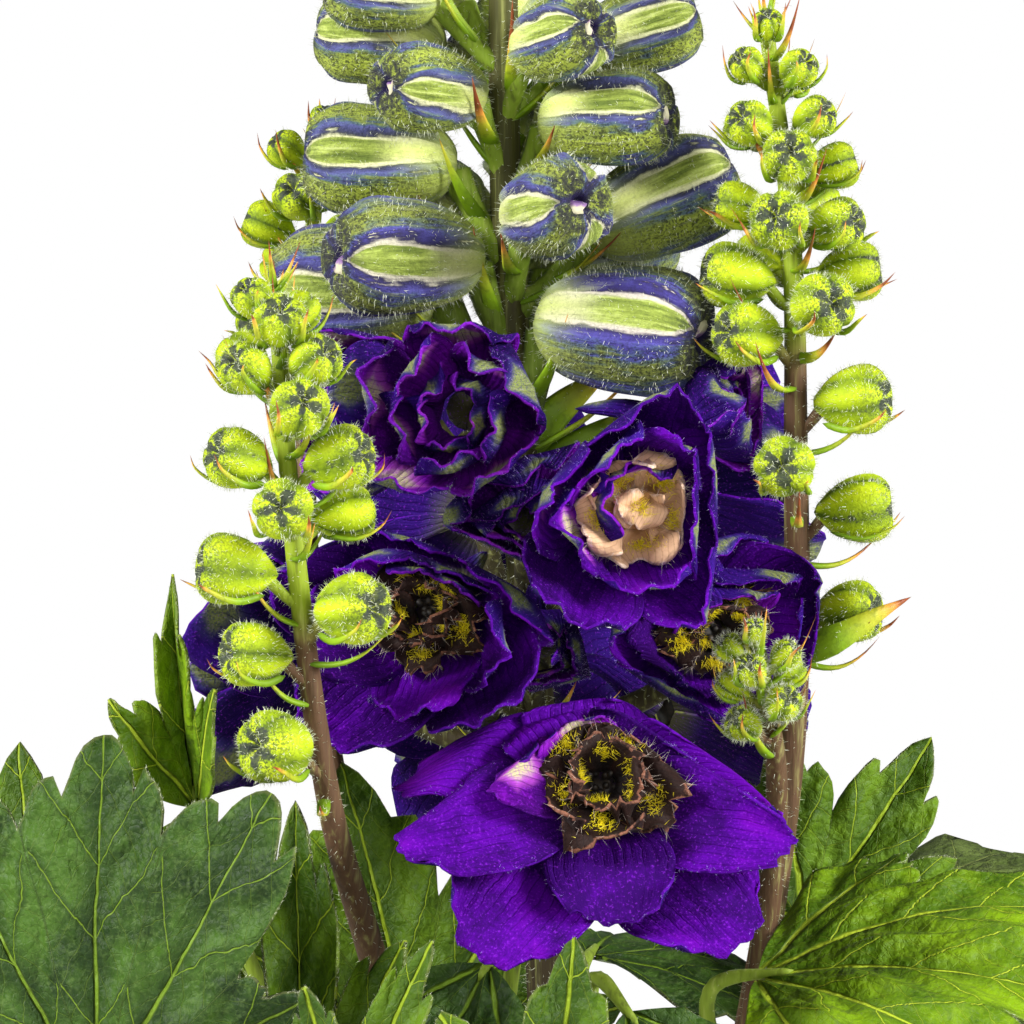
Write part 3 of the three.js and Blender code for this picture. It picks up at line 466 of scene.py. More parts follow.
def ball(segments, rings):
    """A closed round pattern: its faces, and the turn and the share of the way up of each vertex."""
    bpy.ops.mesh.primitive_uv_sphere_add(segments=segments, ring_count=rings, radius=1)
    faces, at = pattern_of(bpy.context.object)
    turn = np.arctan2(at[:, 1], at[:, 0])
    # each ring of vertices has exactly the same share
    share = np.round((1 - np.arccos(np.clip(at[:, 2], -1, 1)) / math.pi) * rings) / rings
    return faces, turn, share


def along(line, radii, pattern, width=1.0, side_way=None, form=1.0):
    """Places of a ball drawn out along a line. radii are spread evenly over the line's length.
    width flattens it, and side_way is the direction in which it is widest."""
    _, turn, share = pattern
    step = unit(np.gradient(line, axis=0))
    if side_way is None:
        side_way = np.eye(3)[np.argmin(np.abs(line[-1] - line[0]))]
    side = unit(side_way - step * (step @ side_way)[:, None])
    up = np.cross(step, side)
    where = np.linspace(0, 1, len(line))
    line, side, up = (np.stack([np.interp(share, where, k) for k in rows.T], -1) for rows in (line, side, up))
    radius = np.interp(share, np.linspace(0, 1, len(radii)), radii) * form
    radius = np.where((share == 0) | (share == 1), 0, radius)
    x, y = radius * np.cos(turn), radius * np.sin(turn) * width
    return line + side * x[:, None] + up * y[:, None]


def stem_finish(name, low, high, low_height, high_height):
    """Skin of a stem: browner below and greener above, streaked along its ridges."""
    finish, tree, shader = new_finish(name, low, 0.6, Sheen_Weight=0.04, Specular_IOR_Level=0.18)
    height = node(tree, "SeparateXYZ", place_of(tree), out=2)
    streaks = speckle(tree, 1100, 4, stretch=(1, 1, 0.06))
    patches = speckle(tree, 110, 3)
    mixed = plus(fade(height, low_height, high_height), times(patches, 0.5))
    colour = blend(fade(mixed, 0.3, 1.1), low, high)
    pale = blend(fade(streaks, 0.5, 0.8, 0, 0.45), colour, (176, 180, 104))
    dark = blend(fade(streaks, 0.5, 0.25, 0, 0.6), pale, (52, 44, 24))
    dress(shader, dark, streaks, 0.5, 0.0004)
    return finish


main_line = spline(MAIN_PATH, 400)
# painted shade: the main stem's skin, which the flower stalks share, is painted darker than its olive green,
# because it stands in the shadow of the buds and flowers
shaded_main_skin = stem_finish("main_stem_skin_shaded", (48, 38, 22), (66, 66, 28), 0.15, 0.36)
pattern = ball(24, 90)
line = np.vstack([[7, 4, STEM_FOOT], main_line])
places = along(line, MAIN_RADII, pattern, form=1 + RIDGE_DEPTH * np.cos(RIDGES * pattern[1]))
grow("main_stem", "main_spike", "main_spike", pattern[0], [places], [shaded_main_skin])


def flower_axes(bloom):
    """A flower's base, and its own axes as rows: to its side, up and the way it faces."""
    _, _, azimuth, height, reach, lift, turn = bloom
    base = at_height(main_line, height) + reach * outward(azimuth)
    facing = outward(azimuth + turn, lift)
    side = unit(np.cross((0, 0, 1), facing))
    return base, np.array([side, np.cross(facing, side), facing])


pattern = ball(10, 16)
stalks = []
for bloom in BLOOMS:
    base, axes = flower_axes(bloom)
    _, _, _, height, reach, _, _ = bloom
    start = at_height(main_line, height - 8 - reach / 3)
    line = spline([start, base + (0, -6.8, -5.2) @ axes, base + (0, -2.4, -0.9) @ axes], 17)
    stalks.append(along(line, STALK_RADII, pattern))
grow("flower_stalks", "main_spike", "main_spike", pattern[0], stalks, [shaded_main_skin])

# -------------------- hairs
# Short stiff white hairs stand all over the stems and buds, and along the edges of sepals and leaves. Each is
# rooted a little way inside the skin.
HAIR_ROOT = 0.08


def hair_finish(name, colour, roughness=0.45):
    """A hair's own skin, a little paler or darker from one to the next."""
    finish, tree, shader = new_finish(name, colour, roughness, Specular_IOR_Level=0.4)
    tone = mark(tree, "tone")
    dark, light = ((*(min(1, c * gain) for c in paint(colour)[:3]), 1) for gain in (0.72, 1.15))
    feed(shader, "Base Color", node(tree, "Mix", tone, *[None] * 5, dark, light, out=2, data_type="RGBA"))
    return finish


WHITE_HAIR = hair_finish("white_hair", (206, 210, 184))


def scatter(piece, count, seed, keep_where=None):
    """Random points on a piece, in millimetres, and the ways it faces there. keep_where says how likely
    each face is, from the middle of the face on the piece's own map and from its skin."""
    mesh = piece.data
    mesh.calc_loop_triangles()
    triangles = mesh.loop_triangles
    corners = numbers(triangles, "vertices", 3, np.int32)
    loops = numbers(triangles, "loops", 3, np.int32)
    skin = numbers(triangles, "material_index", 1, np.int32)
    at = numbers(mesh.vertices, "co", 3)[corners] * 1000
    cross = np.cross(at[:, 1] - at[:, 0], at[:, 2] - at[:, 0])
    weight = np.linalg.norm(cross, axis=1).astype(float)
    if keep_where is not None:
        on_the_map = numbers(mesh.uv_layers[0].data, "uv", 2)[loops].mean(1)
        weight = weight * keep_where(on_the_map, skin)
    draw = np.random.default_rng(seed)
    pick = draw.choice(len(weight), count, p=weight / weight.sum())
    a, b = draw.uniform(0, 1, (2, count, 1))
    a, b = np.where(a + b > 1, 1 - a, a), np.where(a + b > 1, 1 - b, b)
    first, second, third = at[pick].swapaxes(0, 1)
    return first * (1 - a - b) + second * a + third * b, unit(cross[pick])


def hairs(name, slot, replaced, beds, length, radius, finish=WHITE_HAIR, seed=5, wild=0.35):
    """Thin pointed hairs. beds are pairs of their roots and the ways they point, wild is how far each leans
    off its way, and length and radius are millimetres."""
    draw = np.random.default_rng(seed)
    roots, ways = (np.vstack(rows) for rows in zip(*beds))
    bpy.ops.mesh.primitive_cone_add(vertices=3, radius1=1, depth=1)
    faces, form = pattern_of(bpy.context.object)
    count = len(roots)
    way = unit(unit(ways) + wild * draw.normal(0, 1, (count, 3)))
    long = (length * draw.uniform(0.6, 1.2, count))[:, None, None]
    side = unit(np.cross(way, unit(draw.normal(0, 1, (count, 3)))))
    up = np.cross(way, side)
    x, y, z = (form[None, :, k, None] for k in range(3))
    rise = (z + 0.5) * long - HAIR_ROOT
    places = roots[:, None] + radius * (x * side[:, None] + y * up[:, None]) + rise * way[:, None]
    tone = draw.uniform(0, 1, count)
    grow(name, slot, replaced, faces, places, [finish], smooth=False, tone=tone)


for name, count, length in (("main_stem", 3200, 1.3), ("flower_stalks", 1600, 0.9)):
    bed = scatter(bpy.data.objects[name], count, 11)
    hairs(f"{name}_hairs", "main_spike", "main_spike", [bed], length, 0.045)

# -------------------- main buds
# Plump closed buds with overlapping sepals. The outer ones are olive with blue-violet margins that roll over
# an inner one, a lime tongue with pale edges. They twist into a dark dimple at the mouth, on a hairy stalk.
# azimuth, height, reach to the middle, length and pitch of each big bud: small ones fill the spike above them
BIG_BUDS = [
    (62, 275.5, 17.5, 25, -5), (-62, 285.5, 16, 22, 0), (-103, 281, 22, 24, 0), (24, 292, 15, 19, 8),
    (98, 293, 22, 22, 24), (-92, 299, 17.5, 21, 4), (66, 304.5, 15.5, 19, 2), (-48, 308.5, 13.5, 17, 4),
    (-108, 316, 18, 18, 8), (36, 315.5, 13, 16.5, 10), (97, 317, 19, 17, 18), (-80, 322.5, 17, 16, 8),
    (170, 281, 18, 24, 2), (132, 286, 18, 22, 10), (-142, 292, 18, 22, 6), (165, 301, 17, 20, 8),
    (-166, 311, 16, 18, 8), (128, 306, 16, 18, 12), (-130, 323, 15, 16, 12), (172, 320, 14, 16, 14),
]
TIP_BUDS = 16
GOLDEN_ANGLE = 137.5
BUD_WIDTH = 0.68
# along and out, from the neck round the plump middle and over the lip into the mouth
BUD_SHAPE = [
    (-1.04, 0.2), (-0.96, 0.46), (-0.72, 0.78), (-0.3, 0.97), (0.15, 1.04),
    (0.55, 1.02), (0.83, 0.82), (0.99, 0.48), (0.96, 0.24), (0.82, 0.08), (0.74, 0),
]
BUD_FOLDS = 3
TONGUE = 0.165
TONGUE_END = 0.68


def mix(a, b, share):
    return a + (b - a) * share


def seam_of(turn, share, phase):
    """How far a bud's skin lies from the seam of its nearest inner sepal, in sepals' widths.
    Below 0 it is on the inner sepal, whose tongue ends, rounded, before the mouth."""
    wander = 0.05 * np.sin(5 * share + 9 * phase) + 0.025 * np.sin(2 * turn + 9 * share + 17 * phase)
    fold = turn / math.tau * BUD_FOLDS + phase + wander + 0.5 * share**6
    past = np.clip((share - 0.42) / (TONGUE_END - 0.42), 0, 1)
    half = TONGUE * np.sqrt(1 - past**3) * (0.8 + 0.2 * np.sin(math.pi * share)) * (1 + 0.3 * past)
    return 0.5 - np.abs(fold % 1 - 0.5) - half


def swell(seam, share):
    """The outer sepals lie over the inner ones, with a rolled margin and a deep seam."""
    body = np.sin(np.pi * np.clip(1.06 * share, 0, 0.999)) ** 0.6
    over = 1 / (1 + np.exp(-seam / 0.02))
    rolled = np.exp(-(((seam - 0.06) / 0.05) ** 2))
    crease = np.exp(-((seam / 0.028) ** 2))
    lip = np.exp(-(((share - 0.7) / 0.06) ** 2)) * (0.34 * np.clip(seam / 0.2, 0, 1) - 0.1)
    return 1 + body * (0.07 * over + 0.07 * rolled - 0.11 * crease - 0.05) + lip


def bud_ways(azimuth, pitch):
    """The way a bud points, the way across it and the way up from it."""
    facing = outward(azimuth, pitch)
    across = unit(np.cross((0, 0, 1), facing))
    return facing, across, np.cross(facing, across)


def bud_places(outline, middle, ways, length, width, pattern, form):
    """Places of a ball shaped to a bud's outline about its middle."""
    facing, across, up = ways
    _, turn, share = pattern
    shape = spline([(a, o, 0) for a, o in outline], 97)
    where = np.linspace(0, 1, len(shape))
    way, out = (np.interp(share, where, shape[:, k]) for k in (0, 1))
    round_ = out * width / 2 * form
    x, y = round_ * np.cos(turn), round_ * np.sin(turn)
    return middle + facing * (way * length / 2)[:, None] + across * x[:, None] + up * y[:, None]


BUD_SKIN, tree, shader = new_finish(
    "bud_skin", (120, 130, 60), 0.6, Sheen_Weight=0.05, Specular_IOR_Level=0.15
)
around = on_map(tree, 0)
upward = on_map(tree, 1)
seam = mark(tree, "seam")
young = mark(tree, "young")
tone = mark(tree, "tone")
lengthwise = node(tree, "CombineXYZ", times(around, 46.0), times(upward, 4.0), times(tone, 9.0))
streaks = speckle(tree, 1.0, 5, 0.65, place=lengthwise)
mottle = speckle(tree, 1100, 4, 0.7)
patches = speckle(tree, 260, 3)
# the stops run from the middle of the tongue, over its seam at 0.25, to the middle of an outer sepal at 0.75;
# the dark stop just past the seam is painted shade in the crease there
off_seam = minus(plus(streaks, times(patches, 0.7)), 0.85)
reach = times(off_seam, fade(seam, 0.0, 0.12, 0.1, 0.6))
place = plus(plus(seam, reach), 0.25)
VIOLET_BUD = [
    (0.07, 168, 172, 116), (0.16, 190, 188, 152), (0.234, 200, 188, 184),
    (0.252, 44, 34, 80), (0.28, 54, 42, 120), (0.34, 80, 68, 162), (0.41, 62, 74, 140),
    (0.46, 72, 90, 96), (0.53, 102, 110, 56), (0.63, 116, 124, 56), (0.75, 80, 88, 38),
]
GREEN_BUD = [
    (0.07, 194, 204, 108), (0.16, 206, 210, 136), (0.234, 212, 212, 166),
    (0.252, 54, 56, 66), (0.275, 64, 66, 108), (0.31, 84, 88, 140), (0.36, 80, 102, 110),
    (0.42, 122, 136, 62), (0.56, 160, 174, 62), (0.75, 118, 130, 48),
]
colour = blend(young, ramp(place, VIOLET_BUD), ramp(place, GREEN_BUD))
inland = plus(seam, times(off_seam, 0.06))
island = times(fade(inland, -0.035, -0.06), fade(upward, 0.26, 0.4))
olive = ramp(streaks, [(0.36, 92, 108, 40), (0.5, 136, 152, 62), (0.66, 186, 200, 104)])
colour = blend(island, colour, olive)
grit = speckle(tree, 2600, 3, 0.7)
grit = fade(times(mottle, 0.5, grit), 0.7, 0.86)
spots = times(grit, fade(seam, 0.02, 0.2, 0.2, 0.8))
colour = blend(spots, colour, (26, 28, 22))
pale_streaks = times(fade(streaks, 0.56, 0.7), 0.4)
colour = blend(pale_streaks, colour, (176, 180, 134))
neck = times(fade(upward, 0.36, 0.08), fade(streaks, 0.25, 0.6, 0.5, 1.0))
colour = blend(times(neck, 0.9), colour, (182, 196, 96))
tip = times(fade(upward, 0.56, 0.72), fade(mottle, 0.36, 0.52))
colour = blend(times(tip, 0.85), colour, (26, 24, 40))
colour = blend(fade(upward, 0.78, 0.86), colour, (26, 16, 62))
colour = blend(fade(upward, 0.945, 0.99), colour, (214, 196, 196))
dress(shader, colour, plus(streaks, times(mottle, 0.8)), 0.8, 0.0007)


def on_the_bulge(uv, skin):
    return (uv[:, 1] > 0.04) & (uv[:, 1] < 0.93)


draw = np.random.default_rng(21)
tip_buds = []
for i in range(TIP_BUDS):
    t = (i + 0.5) / TIP_BUDS
    height, reach = mix(329, 418, t**0.9), mix(13, 2.2, t)
    tip_buds.append((20 + i * GOLDEN_ANGLE, height, reach, mix(15.5, 4, t), mix(14, 62, t)))
necks = []
for name, some, detail, woolly in (
    ("main_buds", BIG_BUDS, (60, 34), 850),
    ("main_tip_buds", tip_buds, (30, 16), 160),
):
    pattern = ball(*detail)
    _, turn, share = pattern
    buds, seams, ages = [], [], []
    for azimuth, height, reach, length, pitch in some:
        facing, across, up = ways = bud_ways(azimuth, pitch)
        middle = at_height(main_line, height) + reach * outward(azimuth)
        # an inner sepal lies on the side that looks to the front
        front = math.atan2(np.dot((0, -1, 0.12), up), np.dot((0, -1, 0.12), across))
        phase = -front / math.tau * BUD_FOLDS + draw.uniform(-0.14, 0.14)
        seam = seam_of(turn, share, phase)
        uneven = 1 + 0.03 * np.sin(turn + 5 * phase) + 0.02 * np.sin(2 * turn + 7 * share)
        form = swell(seam, share) * uneven
        buds.append(bud_places(BUD_SHAPE, middle, ways, length, length * BUD_WIDTH, pattern, form))
        seams.append(seam)
        ages.append(np.clip((height - 271) / 26 + draw.uniform(-0.2, 0.2), 0, 1))
        start = at_height(main_line, height - 0.7 * length)
        neck = middle - facing * length * 0.5
        necks.append([start, mix(start, neck, 0.6) - (0, 0, 0.06 * length), neck + facing * 0.5])
    tones = draw.uniform(0, 1, len(buds))
    marks = {"seam": seams, "young": ages, "tone": tones}
    piece = grow(name, "main_spike", "main_spike", pattern[0], buds, [BUD_SKIN], **marks)
    bed = scatter(piece, woolly * len(some), 22, on_the_bulge)
    hairs(f"{name}_hairs", "main_spike", "main_spike", [bed], 1.0, 0.04, seed=23, wild=0.22)

# the pale tips of the inner petals show in the mouths of the big buds
finish, tree, shader = new_finish("petal_tip_skin", (214, 196, 208), 0.75, Specular_IOR_Level=0.05)
upward = on_map(tree, 1)
flecks = speckle(tree, 1300, 3)
colour = ramp(times(flecks, 0.4, upward), [(0.5, 52, 30, 92), (0.85, 138, 108, 150), (1.2, 186, 180, 152)])
dress(shader, colour, flecks, 0.6, 0.0004)
pattern = ball(12, 10)
tips = []
for number, (azimuth, height, reach, length, pitch) in enumerate(BIG_BUDS):
    facing, across, up = bud_ways(azimuth, pitch)
    middle = at_height(main_line, height) + reach * outward(azimuth)
    lean = 0.05 * length * (across * math.sin(2 * number) + up * math.cos(3 * number))
    line = [middle + facing * length * out + lean * i for i, out in enumerate((0.34, 0.43, 0.5))]
    form = 1 + 0.3 * np.cos(5 * pattern[1] + number)
    radii = np.array([0.05, 0.09, 0.08, 0.03]) * length
    tips.append(along(spline(line, 9), radii, pattern, 0.6, form=form))
grow("main_bud_petal_tips", "main_spike", "main_spike", pattern[0], tips, [finish])

pattern = ball(10, 12)
stalks = []
for line, (_, _, _, length, _) in zip(necks, BIG_BUDS + tip_buds):
    stalks.append(along(spline(line, 13), np.array([0.1, 0.08, 0.09, 0.12]) * length, pattern))
stalk_skin = stem_finish("bud_stalk_skin", (74, 92, 26), (126, 150, 44), 0.25, 0.31)
piece = grow("main_bud_stalks", "main_spike", "main_spike", pattern[0], stalks, [stalk_skin])
bed = scatter(piece, 2600, 24)
hairs("main_bud_stalk_hairs", "main_spike", "main_spike", [bed], 0.9, 0.042, seed=25)

# -------------------- bracts of the main spike
# A narrow leafy bract stands under each flower and bud stalk, curved up, green with a red-brown dry tip.
BRACT_SKIN, tree, shader = new_finish("bract_skin", (110, 140, 30), 0.5, Specular_IOR_Level=0.25)
upward = on_map(tree, 1)
tone = mark(tree, "tone")
drying = plus(upward, times(tone, 0.3))
bract_colour = ramp(drying, [
    (0.0, 82, 112, 16), (0.5, 122, 154, 20), (0.78, 172, 170, 44),
    (0.92, 206, 140, 60), (1.0, 130, 66, 34),
])
ribs = speckle(tree, 900, 3)
colour = blend(fade(ribs, 0.5, 0.7, 0, 0.4), bract_colour, (70, 92, 20))
dress(shader, colour, ribs, 0.4, 0.0003)


def bract_line(start, way, length, droop, curl):
    """A bract's line: out along way, sagging by droop and then curling up, both as shares of its length."""
    s = np.linspace(0, 1, 13)[:, None]
    up = np.array([0, 0, 1])
    return start + way * length * s + up * length * (curl * s**3 - droop * np.sin(np.pi * s))


BRACT_RADII = np.array([0.8, 1.0, 0.95, 0.8, 0.6, 0.4, 0.2, 0.04])
pattern = ball(8, 14)
bracts = []
for (azimuth, _, _, length, _), neck in zip(BIG_BUDS + tip_buds, necks):
    start = neck[0]
    for side_turn, size, foot in ((-30, 0.75, 0.0), (34, 0.62, 0.4), (-14, 0.5, 0.75)):
        if size < 0.7 and length < 12:
            continue
        away = 1 if azimuth < 0 else -1
        way = outward(azimuth + away * side_turn + draw.uniform(-16, 16), 26 + draw.uniform(-20, 28))
        long = (6 + length / 2) * size * (1 + 0.2 * draw.uniform(-1, 1)) / 0.68
        line = bract_line(mix(start, neck[2], foot), way, long, 0.03, 0.22)
        bracts.append(along(line, BRACT_RADII * mix(0.7, 1.5, size), pattern, 0.4))
for _, _, azimuth, height, reach, _, _ in BLOOMS:
    start = at_height(main_line, height - 8 - reach / 3)
    line = bract_line(start, outward(azimuth + 24, 20), 13, 0.02, 0.25)
    bracts.append(along(line, BRACT_RADII * 1.2, pattern, 0.45))
# two broad ones stand behind the lowest bud on the right
for x, y, z in ((14, 2, 270), (17, 1, 264)):
    line = spline([(1, 2, z - 12), (0.45 * x, 4, z - 6), (0.8 * x, 4, z - 2), (x, y, z)], 13)
    bracts.append(along(line, BRACT_RADII * 2.6, pattern, 0.3, (-0.5, 0, 1)))
tones = draw.uniform(-0.5, 1, len(bracts))
piece = grow("main_bracts", "main_spike", "main_spike", pattern[0], bracts, [BRACT_SKIN], tone=tones)
bed = scatter(piece, 1600, 26)
hairs("main_bract_hairs", "main_spike", "main_spike", [bed], 0.6, 0.042, seed=27)

# -------------------- side spikes
# Four slim side stems of small pear-shaped buds, green above and purplish brown below. Each bud is lime green
# and woolly. Its five sepals bulge round a sunken dark star, and a curved bract stands below it.
# node, path from the soil up, radii, and azimuth, height, reach and width of each bud
SIDE_SPIKES = [
    (
        "side_spike_left",
        [(-6, -8, 117), (-9, -14, 140), (-18, -28, 188), (-24, -42, 213), (-28, -48, 244), (-31, -48, 283)],
        (2.6, 1),
        [
            (-34, 280, 4.6, 5), (6, 277, 5, 6.4), (-40, 271, 6, 6.4), (44, 272, 6.2, 6.4),
            (18, 266, 6.6, 7.2), (-55, 259.5, 7, 7.6), (62, 259.5, 7.4, 8), (-5, 253, 6.8, 7.4),
            (-75, 245, 8, 8.8), (52, 240, 8, 8.8), (-62, 234, 7, 8), (-38, 222, 7.8, 9),
            (150, 278, 5, 5.4), (-130, 272, 6, 6.4), (170, 265, 6.6, 7), (110, 252, 7, 7),
        ],
    ),
    (
        "side_spike_right",
        [(21, 0, 117), (28, -2, 150), (38.5, -8, 215), (39, -12, 262), (38.2, -12, 290), (34.6, -11, 319)],
        (2.6, 1),
        [
            (0, 317, 3.4, 4), (40, 311, 4.8, 5), (-45, 311.5, 4.6, 4.6), (50, 304.5, 5.6, 5.4),
            (-42, 303.5, 5.8, 6), (3, 299, 6.2, 7), (86, 298, 6.4, 6.2), (-85, 292.5, 6.6, 6.4),
            (-14, 290.5, 6.8, 7.6), (55, 290, 6.8, 7), (-80, 283, 7.8, 8.6), (84, 283.5, 7.6, 7.8),
            (24, 279, 7.2, 8.2), (-55, 275, 7.6, 8.4), (70, 266, 8, 9), (-14, 257, 7, 7.8), (88, 251, 8, 9),
            (60, 237, 7.6, 8), (150, 310, 4.6, 5), (-130, 303, 5.4, 5.6), (150, 293, 6.4, 7),
            (-150, 285, 7, 7.6),
        ],
    ),
    (
        "side_spike_back",
        [(-6, 17, 117), (-16, 32, 160), (-29, 44, 225), (-30.5, 41, 270), (-28, 38, 306)],
        (2.4, 1),
        [
            (10, 305, 3.6, 4.4), (-60, 301, 5, 5.2), (70, 298, 5.6, 6), (-20, 294, 6, 6.6),
            (-90, 290, 6.4, 6.8), (45, 286, 6.8, 7.2), (170, 299, 5, 6), (140, 288, 6.4, 7),
            (-150, 284, 6.8, 7.2), (-50, 276, 7, 7.6),
        ],
    ),
    (
        "side_spike_short",
        [(22, -14, 117), (30, -14, 160), (35, -16, 195), (36, -21, 214), (34, -30, 227), (32, -35, 237)],
        (2.2, 1),
        [
            (0, 236, 2.6, 3), (-70, 233.5, 3.6, 3.6), (60, 232.5, 3.8, 3.8), (-20, 230.5, 4, 4.2),
            (110, 230, 3.8, 4), (-100, 228, 4, 4.2), (25, 226, 4.4, 4.6), (-50, 223, 4.4, 4.6),
        ],
    ),
]
SMALL_FOLDS = 5
TUFT = 9
# the line and the width of the large bract on the right
LEAFY_BRACT = [(38, -13, 231.5), (43.5, -20.8, 233.6), (49.5, -20.6, 237), (54.5, -18.5, 239.4)]
LEAFY_WIDTH = 2.6
# along and out, from the thin neck over the bulging top into the sunken star
PEAR_SHAPE = [
    (-1.04, 0.14), (-0.9, 0.3), (-0.6, 0.66), (-0.2, 0.94), (0.2, 1.06),
    (0.55, 1.04), (0.8, 0.86), (0.94, 0.58), (0.9, 0.34), (0.74, 0.14), (0.66, 0),
]

SMALL_BUD_SKIN, tree, shader = new_finish(
    "small_bud_skin", (152, 168, 34), 0.55, Sheen_Weight=0.02, Specular_IOR_Level=0.2
)
upward = on_map(tree, 1)
crease = mark(tree, "crease")
tone = mark(tree, "tone")
mottle = speckle(tree, 1500, 4, 0.75)
patches = speckle(tree, 420, 3)
# painted light: the lime is darkened as shade along the creases between the sepals and lightened as a
# highlight on the middle of each
shade = plus(crease, times(minus(patches, 0.5), 0.4))
lime_with_painted_light = ramp(shade, [
    (0.0, 66, 86, 4), (0.08, 112, 134, 6), (0.25, 152, 174, 8), (0.5, 188, 204, 26),
])
older = plus(fade(upward, 0.34, 0.72), times(tone, 0.25))
grit = speckle(tree, 3200, 3, 0.7)
speckled = times(older, fade(times(mottle, 0.5, grit), 0.66, 0.86))
colour = blend(times(speckled, 0.8), lime_with_painted_light, (62, 76, 30))
ragged = times(minus(patches, 0.5), 1.5, minus(mottle, 0.5))
ragged = times(ragged, 0.42)
arm = fade(upward, 0.56, 0.8, -0.02, 0.4)
star = fade(plus(minus(arm, crease), ragged), -0.05, 0.06)
colour = blend(times(star, 0.82), colour, (36, 38, 48))
dress(shader, colour, mottle, 0.6, 0.0004)

stem_pattern = ball(16, 60)
bud_pattern = ball(30, 16)
stalk_pattern = ball(8, 8)
bract_pattern = ball(6, 12)
for number, (spike, path, radii, small_buds) in enumerate(SIDE_SPIKES):
    draw = np.random.default_rng(40 + number)
    line = spline(path, 300)
    top = path[-1][2]
    brown = max(top - 52, min(height for _, height, _, _ in small_buds) - 4) / 1000
    skin = stem_finish(f"{spike}_skin", (86, 62, 42), (128, 146, 30), brown, brown + 0.014)
    rooted = np.vstack([[*path[0][:2], STEM_FOOT], line])
    places = along(rooted, radii, stem_pattern, form=1 + 0.06 * np.cos(5 * stem_pattern[1]))
    stem = grow(f"{spike}_stem", "side_spike", spike, stem_pattern[0], [places], [skin])
    beds = [scatter(stem, 1100, 41)]

    _, turn, share = bud_pattern
    buds, creases, stalks, bracts = [], [], [], []
    for azimuth, height, reach, width in small_buds:
        t = max(0.0, 1 - (top - height) / 60)
        facing, across, up = ways = bud_ways(azimuth, mix(5, 50, t**3))
        middle = at_height(line, height) + reach * outward(azimuth)
        start = at_height(line, height - 0.55 * width)
        phase = draw.uniform(0, 1)
        wander = 0.12 * np.sin(2 * turn + 9 * phase) + 0.25 * share**4
        fold = (turn / math.tau * SMALL_FOLDS + phase + wander) % 1
        crease = 0.5 - np.abs(fold - 0.5)
        near_top = np.clip(share * 1.7 - 0.35, 0, 1)
        form = 1 + near_top * (0.22 * np.sin(math.pi * np.clip(crease * 1.5, 0, 0.5)) - 0.18)
        form = form - 0.13 * near_top * np.exp(-((crease / 0.08) ** 2)) + 0.03 * np.sin(turn + 7 * phase)
        buds.append(bud_places(PEAR_SHAPE, middle, ways, width * 1.2, width, bud_pattern, form))
        creases.append(crease)
        neck = middle - facing * width * 0.52
        bend = mix(start, neck, 0.6) - (0, 0, 0.1 * width)
        stalks.append(along(spline([start, bend, neck + facing], 9), [0.9, 0.75, 0.9], stalk_pattern))
        # the bract below the bud, and two small ones on the bud's own stalk
        foot = start - (0, 0, 2.5)
        way = outward(azimuth + 22 + draw.uniform(-16, 16), mix(2, 44, t) + draw.uniform(-12, 18))
        curved = bract_line(foot, way, mix(14, 9, t) * draw.uniform(0.8, 1.1), 0.1, draw.uniform(0.1, 0.45))
        bracts.append(along(curved, BRACT_RADII * mix(1.05, 0.7, t), bract_pattern, 0.45))
        for side in (-1, 1):
            if width < 4 and side == 1:
                continue
            aside = across * side
            under = neck + facing * 0.1 * width - up * width * 0.3 + aside * width * 0.25
            over = middle + facing * width * 0.05 - up * width * 0.44 + aside * width * 0.42
            end = middle + facing * width * 0.55 - up * width * 0.3 + aside * width * draw.uniform(0.35, 0.6)
            far = end + facing * draw.uniform(0.6, 2.4) + up * draw.uniform(0, 2) + aside * draw.uniform(0, 1)
            bracts.append(along(spline([under, over, end, far], 13), BRACT_RADII * 0.56, bract_pattern, 0.6))
    # a tuft of bracts round the growing tip, short where the spike is
    grown = np.clip(len(small_buds) / 16, 0.4, 1)
    for i in range(TUFT):
        foot = at_height(line, top - 1.5 - 3.5 * (i / TUFT))
        way = outward(40 * i + draw.uniform(-15, 15), draw.uniform(42, 80))
        curved = bract_line(foot, way, grown * draw.uniform(5, 8.5), 0.05, draw.uniform(-0.1, 0.25))
        bracts.append(along(curved, BRACT_RADII * 0.6, bract_pattern, 0.6))
    if spike == "side_spike_right":
        curved = spline(LEAFY_BRACT, 13)
        bracts.append(along(curved, BRACT_RADII * LEAFY_WIDTH, bract_pattern, 0.35, (0, 0, 1)))
    fuzz = 90 if spike == "side_spike_back" else 440
    tones = draw.uniform(0, 1, len(buds))
    bract_tones = draw.uniform(-0.1, 1, len(bracts))
    for part, pattern, places, finish, marks, count in (
        ("buds", bud_pattern, buds, SMALL_BUD_SKIN, {"crease": creases, "tone": tones}, fuzz * len(buds)),
        ("stalks", stalk_pattern, stalks, skin, {}, 50 * len(buds)),
        ("bracts", bract_pattern, bracts, BRACT_SKIN, {"tone": bract_tones}, 10 * len(bracts)),
    ):
        piece = grow(f"{spike}_{part}", "side_spike", spike, pattern[0], places, [finish], **marks)
        beds.append(scatter(piece, count, 42))
    hairs(f"{spike}_hairs", "side_spike", spike, beds, 0.85, 0.042, seed=43 + number, wild=0.3)

# -------------------- flowers
# Open flowers of thin velvety petals: five broad sepals with a spur behind the upper one, and five smaller
# petals inside them. They are deep violet with darker veins, pale at the throat, and duller behind, where
# painted shade darkens them further.
# each form of flower: the length of its sepals with their angles up at the foot and at the tip, the same for
# its petals, the length of its eye, the width of a petal for its length, and how oval the flower is
FORMS = {
    "flat": ((28.5, 36, -6), (25, 44, 2), 8.4, 0.7, 0.2),
    "cupped": ((26, 40, 26), (20, 50, 38), 6.4, 0.8, 0),
    "bowl": ((26, 34, 46), (20, 44, 58), 6.4, 0.8, 0),
    "half": ((22.5, 34, 66), (17, 46, 78), 5.4, 0.84, 0),
    "opening": ((18.5, 16, 104), (13.5, 28, 112), 0, 0.86, 0),
    "tight": ((14.5, 40, 100), (11, 46, 104), 0, 0.86, 0),
}
